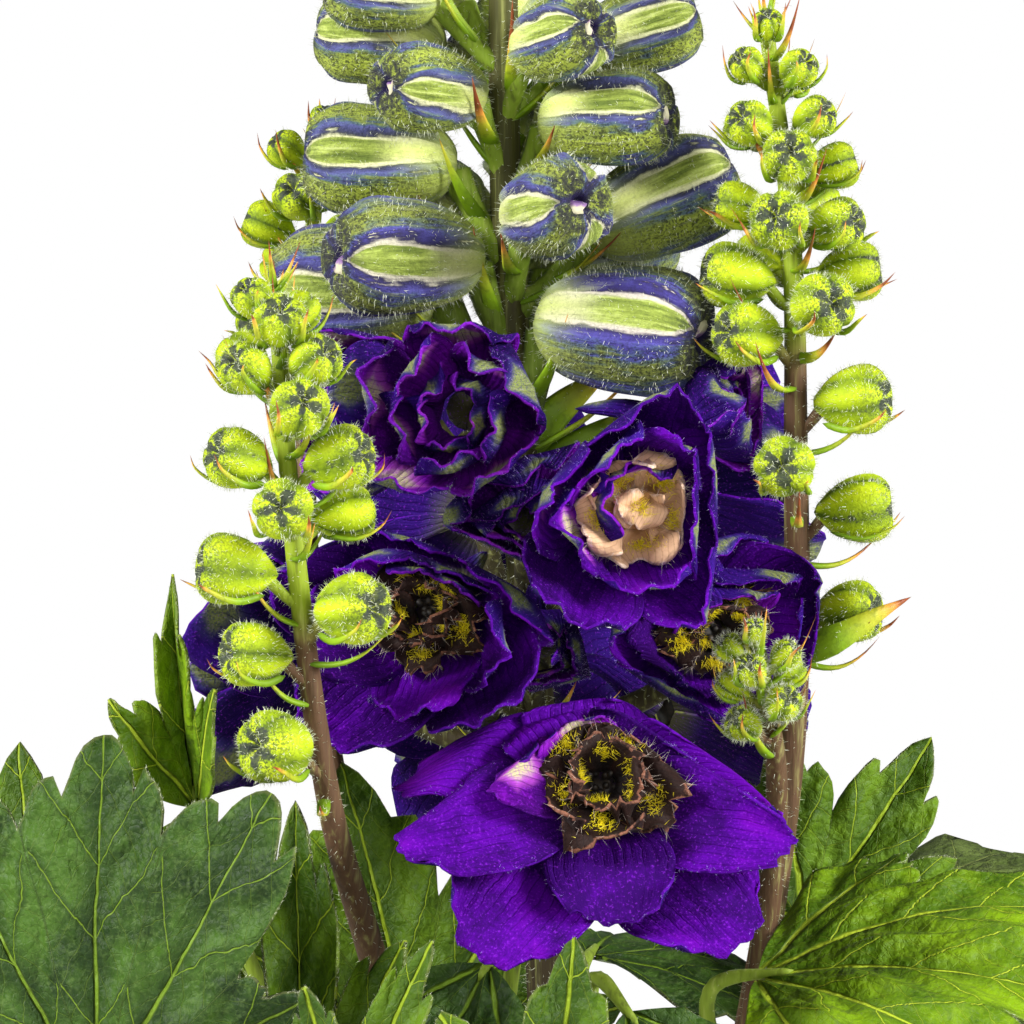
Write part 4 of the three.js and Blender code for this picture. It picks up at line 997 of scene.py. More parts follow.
# the small extra petals that stand round an eye, by where they stand: 0 is right, 2 is up and 5 is left
INNER_PETALS = {
    "bloom_front_low": (4.4, 2.6),
    "bloom_left": (0.8, 1.9),
    "bloom_right": (1.2, 3.2),
    "bloom_centre": (1.6, 3, 4.4),
    "bloom_top": (1, 3, 5, 7, 9),
    "bloom_top_left": (1, 3, 5, 7, 9),
    "bloom_top_right": (1, 3, 5, 7, 9),
    "bloom_middle": (1, 3, 5, 7, 9),
}
FAR_BLOOMS = ("bloom_back", "bloom_side")
SMALL_BLOOMS = ("bloom_top_left", "bloom_top_right", "bloom_middle", "bloom_under")
# how near its neighbours a petal starts to bend and how near it stays, and how far off they still count
CROWDING = 3
PETAL_GAP = 0.65
NEIGHBOUR_FLOWER = 62
NEIGHBOUR_BUD = 36


def fixed_draw(seed, which):
    """A number from -1 to 1 that belongs to each pair of numbers."""
    s = math.sin(seed * 12.9898 + which * 78.233) * 43758.5453
    return (s - math.floor(s)) * 2 - 1


def heart_of(bloom):
    """The middle of a flower's bowl."""
    base, axes = flower_axes(bloom)
    return base + axes[2] * FORMS[bloom[1]][0][0] * 0.3


def walls_of(bloom):
    """What stops a flower's petals: a wall before each neighbour, bud and side stem, as a point and a way."""
    heart = heart_of(bloom)
    size = FORMS[bloom[1]][0][0]
    walls = []
    for other in BLOOMS:
        away = heart_of(other) - heart
        if other is bloom or np.linalg.norm(away) > NEIGHBOUR_FLOWER:
            continue
        at = heart + away * size / (size + FORMS[other[1]][0][0])
        between = outward(bloom[2]) + outward(other[2])
        away = away * (0.5, 0.5, 1)
        if np.linalg.norm(between) > 1:
            away = away + unit(between) * 0.5 * away[2]
        away = unit(away)
        walls.append((at - away * PETAL_GAP, away))
    rounds = []
    for azimuth, height, reach, length, _ in BIG_BUDS:
        rounds.append((at_height(main_line, height) + reach * outward(azimuth), length * 0.37))
    for _, path, _, small_buds in SIDE_SPIKES:
        side = spline(path, 120)
        rounds.append((at_height(side, heart[2]), 3))
        for azimuth, height, reach, width in small_buds:
            rounds.append((at_height(side, height) + reach * outward(azimuth), width / 2))
    for at, radius in rounds:
        away = at - heart
        clear = np.linalg.norm(away) - radius - PETAL_GAP
        if clear < NEIGHBOUR_BUD:
            walls.append((heart + unit(away) * clear, unit(away)))
    return walls


def keep_inside(points, walls, inset):
    """Bends points back from the walls that they come near."""
    for at, away in walls * 2:
        past = (points - at) @ away + inset
        kept = -CROWDING * np.exp(-(past + CROWDING) / CROWDING)
        points = points + np.where(past > -CROWDING, kept - past, 0)[..., None] * away
    return points


# how far along a petal its widest place is
WIDEST = 0.52


def petal_outline(u, v):
    """How wide and how far along a petal is: a claw that opens out, then half an ellipse."""
    claw = np.clip(v / WIDEST, 0, 1)
    past = np.clip((v - WIDEST) / (1 - WIDEST), 0, 1)
    wide = (0.34 + 0.66 * np.sin(np.pi / 2 * claw) ** 1.1) * np.sqrt(1 - past * past / 2)
    far = np.minimum(v, WIDEST) + (1 - WIDEST) * past * np.sqrt(1 - u * u / 2)
    return wide, far


def spoke_angle(spoke, turn):
    """Where a petal stands round the flower, on one of ten spokes. The first is to the flower's right."""
    return math.radians(18 + spoke * 36 + turn)


def petal(angle, size, rises, foot, waves, u, v, cup=0.1, twist=0.12):
    """Places of a petal in the flower's axes, with u from -1 to 1 across it and v from 0 to 1 along it.
    size is its length and width, rises are its angles up at the foot and at the tip, foot is the radius and
    the height at which it stands, and waves are the height of its ruffles and where they begin."""
    length, width = size
    start, end = np.radians(rises)
    bend = end - start
    radius, height = foot
    wave, phase = waves
    wide, far = petal_outline(u, v)
    # the rim wavers, with a notch at the tip
    far = far + 0.03 * np.sin(4 * u + 9 * phase) * v**5 - 0.02 * np.exp(-((u / 0.12) ** 2)) * v**12
    far = far + 0.009 * np.sin(17 * u + 5 * phase) * v**9
    now = start + bend * far
    out = length * (np.sin(now) - math.sin(start)) / bend
    rise = length * (math.cos(start) - np.cos(now)) / bend
    side = width / 2 * wide * u * (1 + 0.02 * np.sin(6 * v + 9 * phase))
    # cupped and twisted, ruffled along the sides and over the tip
    edge = np.abs(u) ** 2.5 * v
    lift = cup * width * u * u * v + twist * side
    lift = lift + wave * edge * (np.sin(6.5 * v + 5 * phase + 1.5 * u) + 0.35 * np.sin(17 * v + 8 * phase))
    lift = lift + 0.55 * wave * v**3 * np.sin(3.6 * u + 9 * phase)
    lift = lift + 0.45 * wave * v * np.sin(4.2 * v + 2.4 * u + 11 * phase)
    # a groove down the middle, and fine pleats beside it
    lift = lift - 0.4 * np.exp(-((u / 0.09) ** 2)) * np.sin(math.pi * np.clip(v * 1.05, 0, 1))
    lift = lift + 0.07 * np.cos(16 * u + phase) * v * (1 - 0.4 * v)
    reach = radius + out - lift * np.sin(now)
    x = reach * math.cos(angle) - side * math.sin(angle)
    y = reach * math.sin(angle) + side * math.cos(angle)
    return np.stack([x, y, height + rise + lift * np.cos(now)], -1)


def petal_finish(
    name, deep, bright, glow, rim_colour, throat, throat_reach, spot_colour, ring_colour, spot_at, spot_share,
    marked_only=True,
):
    """Velvety petal skin with fine dark veins that fan out from the claw, a pale throat and a pale spot in a
    ring. spot_at is how far along the petal the spot lies, and only marked petals may have it."""
    finish, tree, shader = new_finish(
        name, bright, 0.7, Sheen_Weight=0.015, Sheen_Tint=paint((190, 100, 255)), Specular_IOR_Level=0.05
    )
    across = on_map(tree, 0)
    upward = on_map(tree, 1)
    tone = mark(tree, "tone")
    cloud = speckle(tree, 120, 4, 0.6)
    fine = speckle(tree, 2800, 3, 0.6)
    wander = times(minus(speckle(tree, 200, 3), 0.5), 1.4)
    lines = maths("PINGPONG", times(across, 13.0, wander), 0.5)
    vein = times(fade(lines, 0.09, 0.0), fade(upward, 1.0, 0.6))
    wander = times(wander, 2.5)
    hair_lines = maths("PINGPONG", times(across, 43.0, wander), 0.5)
    vein = plus(vein, times(fade(hair_lines, 0.16, 0.0), 0.3))
    light = times(tone, 0.16, cloud)
    light = times(minus(fine, 0.5), 0.3, light)
    colour = blend(fade(light, 0.32, 0.62), deep, bright)
    # painted highlight: the outer part of each petal brightens in patches to the glow colour
    far_glow = times(fade(light, 0.5, 0.75), fade(upward, 0.4, 0.85, 0, 0.6))
    colour = blend(far_glow, colour, glow)
    middle = maths("ABSOLUTE", minus(across, 0.5))
    rim = maths("MAXIMUM", fade(middle, 0.484, 0.5), fade(upward, 0.98, 1.0))
    colour = blend(times(rim, 0.4), colour, rim_colour)
    near = times(cloud, 0.12, upward)
    pale = times(fade(near, throat_reach, 0.06), 0.95)
    colour = blend(pale, colour, throat)
    along_petal = maths("ABSOLUTE", times(upward, 2.6, -2.6 * spot_at))
    spot = times(middle, 2.4, along_petal)
    spot = times(minus(cloud, 0.5), 1.1, spot)
    share = times(mark(tree, "marked"), spot_share) if marked_only else spot_share
    ring = times(fade(spot, 0.95, 0.55), share)
    colour = blend(ring, colour, ring_colour)
    spotted = times(fade(spot, 0.66, 0.24), fade(fine, 0.34, 0.56, 0.35, 1.0))
    colour = blend(times(spotted, share), colour, spot_colour)
    colour = blend(times(vein, 0.5), colour, deep)
    # painted glints: fine bright lilac specks stand for the sparkle of light on the velvet
    colour = blend(fade(fine, 0.57, 0.7, 0, 0.36), colour, (146, 46, 214))
    pleats = times(lines, 1.0, times(cloud, 1.2))
    relief = times(fine, 0.8, minus(pleats, times(vein, 0.7)))
    dress(shader, colour, relief, 0.65, 0.0005)
    return finish


VIOLET = petal_finish(
    "violet_petal", (42, 0, 84), (78, 0, 140), glow=(112, 4, 164), rim_colour=(88, 16, 158),
    throat=(158, 166, 70), throat_reach=0.24, spot_colour=(196, 196, 112),
    ring_colour=(150, 56, 180), spot_at=0.64, spot_share=0.85,
)
YOUNG_VIOLET = petal_finish(
    "young_violet_petal", (54, 0, 92), (108, 8, 156), glow=(150, 44, 182),
    rim_colour=(104, 30, 164), throat=(70, 14, 104), throat_reach=0.3, spot_colour=(206, 208, 128),
    ring_colour=(170, 70, 186), spot_at=0.68, spot_share=0.8,
)
# painted shade: the backs and spurs are darker than their own duller violet, so that the backs seen in the
# gaps between the flowers read as shadow
VIOLET_BACK_AND_SHADE = petal_finish(
    "violet_petal_back_shaded", (22, 6, 62), (42, 10, 100), glow=(56, 26, 136),
    rim_colour=(62, 30, 138), throat=(84, 84, 50), throat_reach=0.3, spot_colour=(150, 164, 50),
    ring_colour=(58, 52, 116), spot_at=0.84, spot_share=0.72, marked_only=False,
)
VIOLET_HAIR = hair_finish("violet_hair", (176, 160, 220))


def sheet(columns, rows):
    """A flat pattern: its faces, with u from -1 to 1 across it and v from 0 to 1 along it at each vertex."""
    bpy.ops.mesh.primitive_grid_add(x_subdivisions=columns, y_subdivisions=rows, size=2)
    faces, at = pattern_of(bpy.context.object)
    return faces, -at[:, 0], (at[:, 1] + 1) / 2


def scallop(points, base, facing, u, v, phase, depth):
    """Draws a petal's rim unevenly in towards the flower's axis."""
    notch = 1.4 + np.sin(6 * u + 9 * phase) + 0.7 * np.sin(13 * u + 5 * phase)
    off = points - base
    off = off - (off @ facing)[..., None] * facing
    return points - off * (depth * notch * v**7)[..., None]


def near_the_rim(uv, skin):
    return ((np.abs(uv[:, 0] - 0.5) > 0.475) | (uv[:, 1] > 0.97)) & (uv[:, 1] > 0.3)


def on_a_back(uv, skin):
    return (skin == 1) & (uv[:, 1] > 0.5)


PETAL_THICKNESS = 0.0004
spur_pattern = ball(12, 12)
for number, bloom in enumerate(BLOOMS):
    name, form, _, _, reach, _, _ = bloom
    seed = number + 1
    base, axes = flower_axes(bloom)
    walls = walls_of(bloom)
    sepals, petals, _, broad, oval = FORMS[form]
    hidden = name.startswith(FAR_BLOOMS)
    young = form in ("opening", "tight")
    grid = 11 if hidden else 14 if name in SMALL_BLOOMS else 16
    faces, u, v = sheet(grid, grid)
    depth = 0.02 if form == "flat" else 0.03
    # spokes, lengths and rises, width for the length, radius and height of the foot, inset and ruffles
    inmost = (0.6 * petals[0], petals[1] + 12, petals[2] + 16)
    whorls = [
        (range(2, 12, 2), sepals, broad, (3.4, 1.6), 0.0, 1.5),
        (range(3, 13, 2), petals, broad, (3.2, 4.4), 1.6, 1.4),
        (INNER_PETALS.get(name, ()), inmost, 0.9, (3.0, 6.4), 2.6, 1.3),
    ]
    made, tones, marks = [], [], []
    for whorl, (spokes, (length, rise_from, rise_to), wide, foot, inset, wave) in enumerate(whorls):
        for i, spoke in enumerate(spokes):
            which = i + (2 + whorl) * 5
            angle = spoke_angle(spoke, 5 * fixed_draw(seed, which))
            long = length * (1 + 0.06 * fixed_draw(seed, which + 20)) * (1 + oval * math.cos(2 * angle))
            rises = (rise_from, rise_to + 8 * fixed_draw(seed, which + 40))
            phase = fixed_draw(seed, which + 60)
            local = petal(angle, (long, length * wide), rises, foot, (wave, phase), u, v)
            bent = keep_inside(base + local @ axes, walls, inset)
            made.append(scallop(bent, base, axes[2], u, v, phase, depth))
            tones.append(fixed_draw(seed, which + 80))
            marks.append(float(whorl == 2 or young or name == "bloom_centre" and 2 < spoke < 6))
    for part, skin, these in (
        ("inmost_petals", YOUNG_VIOLET, slice(10, None)),
        ("petals", YOUNG_VIOLET if young else VIOLET, slice(10)),
    ):
        if not made[these]:
            continue
        piece = grow(
            f"{name}_{part}", "petal", name, faces, made[these], [skin, VIOLET_BACK_AND_SHADE], PETAL_THICKNESS,
            tone=tones[these], marked=marks[these],
        )

    end = min(14, reach - 6)
    line = base + spline([(0, 0, 1.5), (0, 2.6, -0.2 * end), (0, 6, -0.5 * end), (0, 9, -end)], 17) @ axes
    drawn = along(line, [3.2, 2.8, 1.7, 1.3, 0.4], spur_pattern)
    spur = grow(f"{name}_spur", "petal", name, spur_pattern[0], [drawn], [VIOLET_BACK_AND_SHADE], tone=[0.2])

    on_rims, on_backs = (168, 126) if hidden else (560, 420)
    beds = [
        scatter(piece, on_rims, 60 + number, near_the_rim),
        scatter(piece, on_backs, 80 + number, on_a_back),
        scatter(spur, 100, 90 + number),
    ]
    hairs(f"{name}_hairs", "petal", name, beds, 0.55, 0.022, VIOLET_HAIR, seed=100 + number, wild=0.5)

# -------------------- eyes
# The dark eye of a flower: five small two-lobed brown petals with ragged, paler edges and long hairs, and a
# tuft of short yellow hairs on each. They stand on a short column round a few dark stamens.
EYE_FOOT = 5.2
EYE_HEIGHT = 4.6
STAMENS = 14
EYE_THICKNESS = 0.00035


def eye_finish(name, dark, middle, edge):
    """Skin of an eye's petals: streaked, and paler at the edge."""
    finish, tree, shader = new_finish(name, middle, 0.6, Sheen_Weight=0.02, Specular_IOR_Level=0.12)
    across = on_map(tree, 0)
    upward = on_map(tree, 1)
    cloud = speckle(tree, 420, 5, 0.65)
    fine = speckle(tree, 2400, 3)
    lines = maths("PINGPONG", times(across, 13.0, cloud), 0.5)
    middle_off = maths("ABSOLUTE", minus(across, 0.5))
    out = maths("MAXIMUM", upward, times(middle_off, 1.9))
    out = times(minus(cloud, 0.5), 0.5, out)
    colour = ramp(out, [(0.25, *dark), (0.72, *middle), (0.94, *middle), (1.02, *edge)])
    colour = blend(fade(lines, 0.16, 0.0, 0, 0.45), colour, dark)
    dress(shader, colour, times(fine, 0.4, cloud), 0.6, 0.0006)
    return finish


BROWN_EYE = eye_finish("brown_eye", (10, 4, 4), (36, 20, 16), (122, 80, 62))
TAN_EYE = eye_finish("tan_eye", (140, 100, 60), (206, 166, 130), (230, 204, 180))
YELLOW_HAIR = hair_finish("yellow_hair", (232, 214, 26))
FINE_HAIR = hair_finish("fine_hair", (196, 180, 168))
STAMEN, tree, shader = new_finish("stamen", (30, 24, 20), 0.6)
grain = speckle(tree, 1500, 3)
feed(shader, "Base Color", ramp(grain, [(0.35, 10, 7, 7), (0.7, 48, 38, 26)]))


def amid_a_petal(uv, skin):
    return np.exp(-(((uv[:, 0] - 0.5) / 0.15) ** 2 + ((uv[:, 1] - 0.52) / 0.15) ** 2))


def on_an_edge(uv, skin):
    return (np.abs(uv[:, 0] - 0.5) > 0.44) | (uv[:, 1] > 0.9)


faces, u, v = sheet(14, 9)
stamen_pattern = ball(8, 10)
for number, bloom in enumerate(BLOOMS):
    name, form = bloom[:2]
    length = FORMS[form][2]
    if not length:
        continue
    eye = f"{name}_eye"
    draw = np.random.default_rng(200 + number)
    seed = number + 1
    base, axes = flower_axes(bloom)
    walls = walls_of(bloom)
    tall = EYE_FOOT + EYE_HEIGHT
    # the paler eye's petals are round and not notched
    round_eye = name == "bloom_centre"
    cleft, tatter, broad = (0.06, 0.3, 1.9) if round_eye else (0.26, 1, 1.3)
    made = []
    for i in range(5):
        phase = fixed_draw(seed, i + 50)
        lobes = 1 - cleft * np.exp(-((u / 0.14) ** 2)) * v**3
        shreds = 0.09 * np.sin(11 * u + 9 * phase) + 0.06 * np.sin(19 * u + 5 * phase)
        ragged = v * lobes * (1 + tatter * shreds * v**5)
        angle = spoke_angle(3 + 2 * i, 8 * fixed_draw(seed, i))
        size = (length * 1.12 + 1.2 * fixed_draw(seed, i + 10), length * broad)
        rises = (40, 4 + 26 * fixed_draw(seed, i + 20))
        local = petal(angle, size, rises, (2.2, tall), (3.0, phase), u, ragged, 0.05, 0.1)
        made.append(keep_inside(base + local @ axes, walls, 3.4))
        if round_eye and i > 1:
            continue
        # a smaller lobe stands up in front of each
        if round_eye:
            angle, size = spoke_angle(6.4 - 4.6 * i, 0), (length * 0.98, length * 1.35)
            rises, foot = (34, -8), (-2.6, tall + 1.8 - i)
        else:
            angle, size = spoke_angle(2.2 + 2 * i, 20 * phase), (length * 0.72, length * 0.95)
            rises, foot = (52, 44 + 20 * fixed_draw(seed, i + 30)), (1.8, tall + 0.6)
        local = petal(angle, size, rises, foot, (2.4, -phase), u, ragged, 0.1, 0.1)
        made.append(keep_inside(base + local @ axes, walls, 3.8))
    skin = TAN_EYE if round_eye else BROWN_EYE
    piece = grow(f"{eye}_petals", "eye", eye, faces, made, [skin], EYE_THICKNESS)

    stamens = []
    for i in range(STAMENS):
        turn = i * math.tau / STAMENS * 3 + draw.uniform(-0.3, 0.3)
        out = draw.uniform(0.3, 2.2)
        foot = np.array([0.7 * out * math.cos(turn), 0.7 * out * math.sin(turn), EYE_FOOT])
        high = tall + draw.uniform(-0.6, 1.4)
        head = np.array([out * 1.3 * math.cos(turn), out * 1.3 * math.sin(turn), high])
        line = base + spline([foot, mix(foot, head, 0.6), head], 11) @ axes
        stamens.append(along(line, [0.5, 0.3, 0.28, 0.28, 0.5, 0.6, 0.3], stamen_pattern))
    column = base + spline([(0, 0, 0.5), (0, 0, 0.6 * tall), (0, 0, tall - 0.4)], 11) @ axes
    stamens.append(along(column, [3.4, 2.9, 2.6, 2.2], stamen_pattern))
    grow(f"{name}_stamens", "eye", eye, stamen_pattern[0], stamens, [STAMEN])

    centre = base + axes[2] * tall
    tufted = 700 if name.startswith(FAR_BLOOMS) else 2600
    roots, ways = scatter(piece, tufted, 210 + number, amid_a_petal)
    facing = (ways @ axes[2]) > 0
    roots, ways = roots[facing], ways[facing]
    bed = (roots, ways + 0.5 * unit(roots - centre))
    hairs(f"{name}_tufts", "eye", eye, [bed], 1.3, 0.05, YELLOW_HAIR, seed=220, wild=0.45)
    roots, ways = scatter(piece, 260, 230 + number, on_an_edge)
    bed = (roots, 0.4 * ways + unit(roots - centre))
    hairs(f"{eye}_hairs", "eye", eye, [bed], 1.9, 0.025, FINE_HAIR, seed=240, wild=0.45)

# -------------------- leaves
# Palm-shaped leaves with deep toothed lobes, each on a long stalk from the crown. The blade is green, paler
# below, puckered between yellow-green veins, and has a fringe of fine hairs.
# each kind of leaf: the angles of its lobes from the middle vein, their lengths, how far out the bays
# between them lie, half a lobe's angle and how far out its side teeth stand
LEAF_KINDS = {
    "broad": ([0, 31, 64, 98], [1, 0.98, 0.86, 0.66], [0.74, 0.66, 0.5, 0.34], 15.5, 0.8),
    "hand": ([0, 29, 60], [1, 1, 0.66], [0.78, 0.54, 0.34], 15, 0.91),
    "cut": ([0, 46, 92], [1, 0.92, 0.72], [0.5, 0.44, 0.3], 23, 0.8),
    "narrow": ([0, 36], [1, 0.78], [0.4, 0.3], 15, 0.8),
}
# name after leaf_, kind, curl, fold, root in the soil, base of the blade, tip of its middle lobe, the way it
# faces, and green
LEAVES = [
    ("left_front", "hand", 20, 8, (-26, -22), (-54, -50, 174), (-55, -58, 223), (-0.2, -1, 0.2), "dark"),
    ("left_inner", "narrow", 25, 40, (-15, -31), (-27, -42, 170), (-29.5, -48, 214), (-0.1, -1, 0.2),
     "fresh"),
    ("left_upright", "narrow", 30, 60, (-22, -8), (-43, -18, 210), (-48, -29, 241), (-0.25, -1, 0.1),
     "bright"),
    ("left_far", "cut", 25, 10, (-38, 2), (-65, 2, 179), (-72, -2, 217), (-0.3, -0.9, 0.3), "fresh"),
    ("left_low", "narrow", 30, 20, (-12, -24), (-21, -56, 172), (-13, -68, 197), (-0.1, -0.9, 0.4), "fresh"),
    ("under_left", "narrow", 30, 20, (-4, -22), (-3, -38, 192), (-16, -54, 172), (-0.1, -0.7, 0.7), "dark"),
    ("under_right", "narrow", 30, 20, (10, -26), (15, -41, 186), (30, -57, 170), (0.3, -0.7, 0.7), "dark"),
    ("right_front", "hand", 40, 10, (32, -18), (33, -25, 188), (76, -44, 200), (0.1, -0.5, 0.86), "bright"),
    ("right_upper", "cut", 30, 20, (36, 8), (41, 0, 192), (60, -4, 218), (0.3, -0.9, 0.3), "fresh"),
    ("right_far", "broad", 50, 0, (38, 28), (57, 50, 184), (101, 66, 205), (0, -0.35, 0.94), "grey"),
    ("middle", "cut", 20, 10, (-12, 8), (-14, 12, 172), (-24, 14, 214), (0.1, -1, 0.1), "fresh"),
    ("front", "cut", 30, 20, (4, -42), (5.5, -62, 172), (7.5, -73, 197), (0, -0.9, 0.4), "fresh"),
    ("back_left", "broad", 50, 0, (-24, 30), (-42, 56, 180), (-68, 90, 194), (0.2, -0.2, 0.94), "fresh"),
    ("back", "cut", 50, 0, (10, 36), (12, 66, 178), (22, 112, 188), (0, -0.2, 0.97), "dark"),
    ("low_front", "broad", 55, 0, (26, -38), (34, -66, 150), (50, -108, 146), (0, -0.2, 0.97), "fresh"),
    ("low_right", "cut", 55, 0, (50, -2), (76, -2, 150), (120, -6, 146), (0.2, 0, 0.97), "dark"),
    ("low_back", "broad", 55, 0, (24, 46), (38, 68, 148), (60, 110, 144), (0, 0.2, 0.97), "dark"),
    ("low_left", "cut", 55, 0, (-44, 24), (-70, 38, 150), (-112, 58, 146), (0, 0.2, 0.97), "fresh"),
    ("low_side", "broad", 55, 0, (-44, -22), (-66, -34, 146), (-106, -56, 144), (-0.2, 0, 0.97), "fresh"),
]
FINE_LEAVES = ("left_front", "left_inner", "right_front", "right_upper")


def leaf_finish(name, *colours):
    """Leaf skin: mottled green with branching veins drawn from each lobe's own middle vein. Its colours are
    for the blade, the darker mottling and the painted shade beside the veins, the veins, and the pale flecks
    of painted sheen."""
    blade, deep, vein_colour, pale = colours
    finish, tree, shader = new_finish(name, blade, 0.45, Specular_IOR_Level=0.18, Sheen_Weight=0.01)
    ahead = mark(tree, "ahead")
    beside = mark(tree, "beside")
    margin = on_map(tree, 1)
    cloud = speckle(tree, 90, 5, 0.6)
    fine = speckle(tree, 1500, 4, 0.6)
    wander = times(minus(speckle(tree, 120, 3), 0.5), 5.0)
    off = maths("ABSOLUTE", times(wander, 0.3, beside))
    thick = fade(ahead, 0.0, 46.0, 0.5, 0.16)
    main = fade(maths("DIVIDE", off, thick), 1.3, 0.5)
    slant = plus(minus(ahead, times(off, 1.5)), wander)
    branch = maths("PINGPONG", maths("DIVIDE", slant, 11.0), 0.5)
    branch = times(fade(branch, 0.022, 0.008), fade(off, 13.0, 6.0))
    crossing = times(off, 1.9, times(wander, 1.4, ahead))
    twig = maths("PINGPONG", maths("DIVIDE", crossing, 6.4), 0.5)
    twig = times(fade(twig, 0.03, 0.012), 0.3)
    net = node(tree, "TexVoronoi", place_of(tree), None, 760.0, feature="DISTANCE_TO_EDGE")
    net = times(fade(net, 0.1, 0.0), 0.05)
    vein = maths("MAXIMUM", maths("MAXIMUM", main, branch), maths("MAXIMUM", twig, net))
    colour = blend(fade(cloud, 0.35, 0.65), deep, blade)
    # painted sheen: pale blue-grey flecks scattered over the blade
    colour = blend(fade(fine, 0.45, 0.75, 0, 0.3), colour, pale)
    # painted shade: the blade is darker beside the main and branch veins, where they lie in sunken grooves
    shade_beside_main_vein = fade(off, 3.6, 0.3, 0, 0.7)
    shade_beside_branch_vein = fade(maths("PINGPONG", maths("DIVIDE", slant, 11.0), 0.5), 0.16, 0.0, 0, 0.6)
    colour = blend(maths("MAXIMUM", shade_beside_main_vein, shade_beside_branch_vein), colour, deep)
    colour = blend(times(vein, 0.7), colour, vein_colour)
    dry = fade(times(cloud, 0.02, margin), 0.995, 1.01)
    colour = blend(times(dry, 0.15), colour, (150, 140, 96))
    feed(shader, "Roughness", fade(fine, 0.3, 0.7, 0.4, 0.62))
    pucker = times(speckle(tree, 330, 2, 0.5), 1.6)
    dress(shader, colour, minus(times(fine, 0.25, pucker), vein), 0.85, 0.0012)
    return finish


LEAF_THICKNESS = 0.0005
GREENS = {
    "dark": leaf_finish("dark_leaf", (58, 88, 22), (20, 42, 6), (112, 140, 30), (110, 134, 72)),
    "fresh": leaf_finish("fresh_leaf", (84, 114, 8), (42, 68, 4), (146, 168, 30), (104, 134, 30)),
    # painted light: the bright green paints light shining through the leaves that are given it
    "bright": leaf_finish("bright_leaf_painted_light", (110, 142, 6), (60, 90, 4), (178, 196, 50), (128, 158, 30)),
    "grey": leaf_finish("grey_leaf", (94, 110, 52), (72, 88, 38), (136, 148, 78), (118, 130, 84)),
}
LEAF_BACK = leaf_finish("leaf_back_skin", (122, 142, 66), (98, 120, 48), (160, 174, 92), (140, 156, 92))
PETIOLE = stem_finish("leaf_stalk_skin", (104, 84, 50), (112, 132, 34), 0.12, 0.17)
SOIL_MM = SOIL_TOP * 1000


def lobed_rim(lobes, tips, bays, half, tooth):
    """A blade's rim, as angles from its middle vein and how far out it lies: three teeth to a lobe."""
    last = len(lobes) - 1
    rim = [(-lobes[last] - half * 1.5, bays[last])]
    for lobe in range(-last, last + 1):
        i = abs(lobe)
        middle = math.copysign(lobes[i], lobe)
        for turn, share in ((-0.6, tooth), (-0.42, tooth - 0.06), (0, 1), (0.42, tooth - 0.06), (0.6, tooth)):
            rim.append((middle + turn * half, tips[i] * share))
        rim.append((middle + half * (1.5 if lobe == last else 1), bays[i - 1] if lobe < 0 else bays[i]))
    return np.array(rim).T


def on_a_margin(uv, skin):
    return uv[:, 1] > 0.985


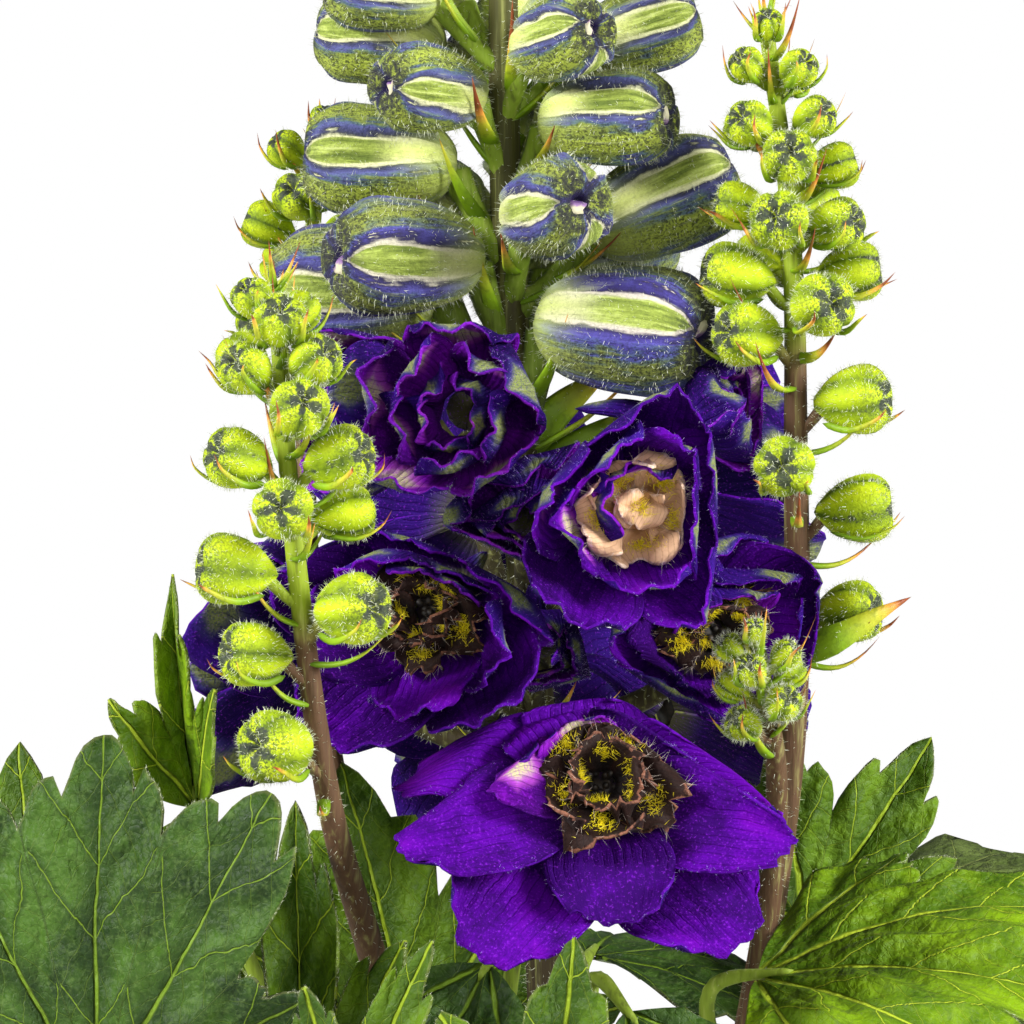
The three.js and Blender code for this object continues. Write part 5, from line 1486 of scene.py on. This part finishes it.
petiole = ball(12, 36)
for number, (which, kind, curl, fold, root, base, tip, face, green) in enumerate(LEAVES):
    name = f"leaf_{which}"
    fine, far = which in FINE_LEAVES, which.startswith(("low", "back"))
    faces, u, v = sheet(*((130, 16) if fine else (70, 8) if far else (90, 10)))
    start = np.array(base, float)
    way = np.array(tip, float) - start
    length = np.linalg.norm(way)
    way = unit(way)
    upper = unit(np.array(face) - way * np.dot(face, way))
    across = np.cross(upper, way)
    bend = math.radians(curl)
    lobes, _, _, half, _ = LEAF_KINDS[kind]
    angles, shares = lobed_rim(*LEAF_KINDS[kind])
    angle = u * angles[-1]
    rim = np.interp(angle, angles, shares)
    part = np.interp(angle, angles, np.arange(len(angles)))
    rim = rim + 0.04 * np.abs(np.sin(np.pi * part)) * (1 + 0.3 * np.sin(number + part))
    share = rim * (0.04 + 0.96 * v**0.9)
    # how far each point is along and beside the middle vein of its own lobe
    off = angle[:, None] - np.array([-lobe for lobe in lobes[:0:-1]] + lobes)
    off = np.radians(np.take_along_axis(off, np.argmin(np.abs(off), axis=1)[:, None], 1)[:, 0])
    ahead, beside = share * length * np.cos(off), share * length * np.sin(off)
    # the blade curls down, is troughed along each lobe, quilted between its veins, grooved along the middle
    # one, wavy at the margin and folded up at both sides
    sway = np.radians(angle)
    out = length * np.sin(bend * share) / bend
    trough = 0.05 * length * share * np.clip(np.abs(off) / math.radians(half), 0, 1) ** 1.5
    quilt = 0.6 * np.cos(math.tau * (ahead - 1.5 * np.abs(beside)) / 11) * np.clip(np.abs(beside) / 2, 0, 1)
    groove = -0.3 * np.exp(-((beside / 0.8) ** 2))
    flutter = 0.9 * np.sin(7 * sway + number) * v**3 + 0.7 * np.sin(19 * sway + 2 * number) * v**6
    sideways = out * np.sin(sway)
    folded = math.sin(math.radians(fold)) * sideways**2 / (np.abs(sideways) + 2)
    drop = length * (1 - np.cos(bend * share)) / bend - trough - quilt - groove - flutter - folded
    sideways = sideways * math.cos(math.radians(fold))
    places = start + np.outer(out * np.cos(sway), way) + np.outer(sideways, across) - np.outer(drop, upper)
    skins = [GREENS[green], LEAF_BACK]
    marks = {"ahead": ahead, "beside": beside}
    piece = grow(f"{name}_blade", "leaf", name, faces, [places], skins, LEAF_THICKNESS, **marks)

    foot = np.array([*root, SOIL_MM])
    halfway = mix(foot, start, 0.45)
    halfway[2] = mix(SOIL_MM, start[2], 0.62)
    neck = start - way * 7 - upper * 0.5
    line = spline([foot - (0, 0, 9), foot, halfway, neck, start + way * 0.12 * length], 60)
    groove = 1 - 0.18 * np.exp(-(((petiole[1] - 1.57) / 0.5) ** 2))
    shaped = along(line, [1.5, 1.35, 1.25, 1.15, 1.1, 1.05, 0.5], petiole, form=groove)
    stalk = grow(f"{name}_stalk", "leaf", name, petiole[0], [shaped], [PETIOLE])

    roots, ways = scatter(piece, 760 if fine else 320, 300 + number, on_a_margin)
    beds = [(roots, unit(roots - start) + 0.2 * ways), scatter(stalk, 100, 330 + number)]
    hairs(f"{name}_hairs", "leaf", name, beds, 0.5, 0.028, seed=350 + number, wild=0.3)

# -------------------- room
# A plain round white table in a white surround, lit by soft lamps from both sides.
bpy.ops.mesh.primitive_circle_add(vertices=96, radius=0.6, fill_type="NGON")
table = bpy.context.object
table.name = "table"
finish, tree, shader = new_finish("table_white", (240, 240, 238), 0.6)
table.data.materials.append(finish)

scene = bpy.context.scene
scene.view_settings.view_transform = "Standard"
# the plant is lit this much by the surround, which the camera sees as white
SURROUND_LIGHT = 0.09
world = bpy.data.worlds.new("surround")
scene.world = world
world.use_nodes = True
tree = world.node_tree
background = tree.nodes["Background"]
background.inputs[0].default_value = (1, 1, 1, 1)
seen = node(tree, "LightPath")
tree.links.new(times(seen, 1 - SURROUND_LIGHT, SURROUND_LIGHT), background.inputs[1])


def lamp(name, place, size, power):
    bpy.ops.object.light_add(type="AREA", location=place)
    light = bpy.context.object
    light.name = name
    light.data.size = size
    light.data.energy = power
    light.rotation_euler = (LOOK_AT - light.location).to_track_quat("-Z", "Y").to_euler()


lamp("left_lamp", (-0.8, -0.45, 0.75), 0.35, 22)
lamp("right_lamp", (0.85, -0.4, 0.55), 0.35, 19)
lamp("front_lamp", (0.1, -1.1, 0.45), 0.5, 4)
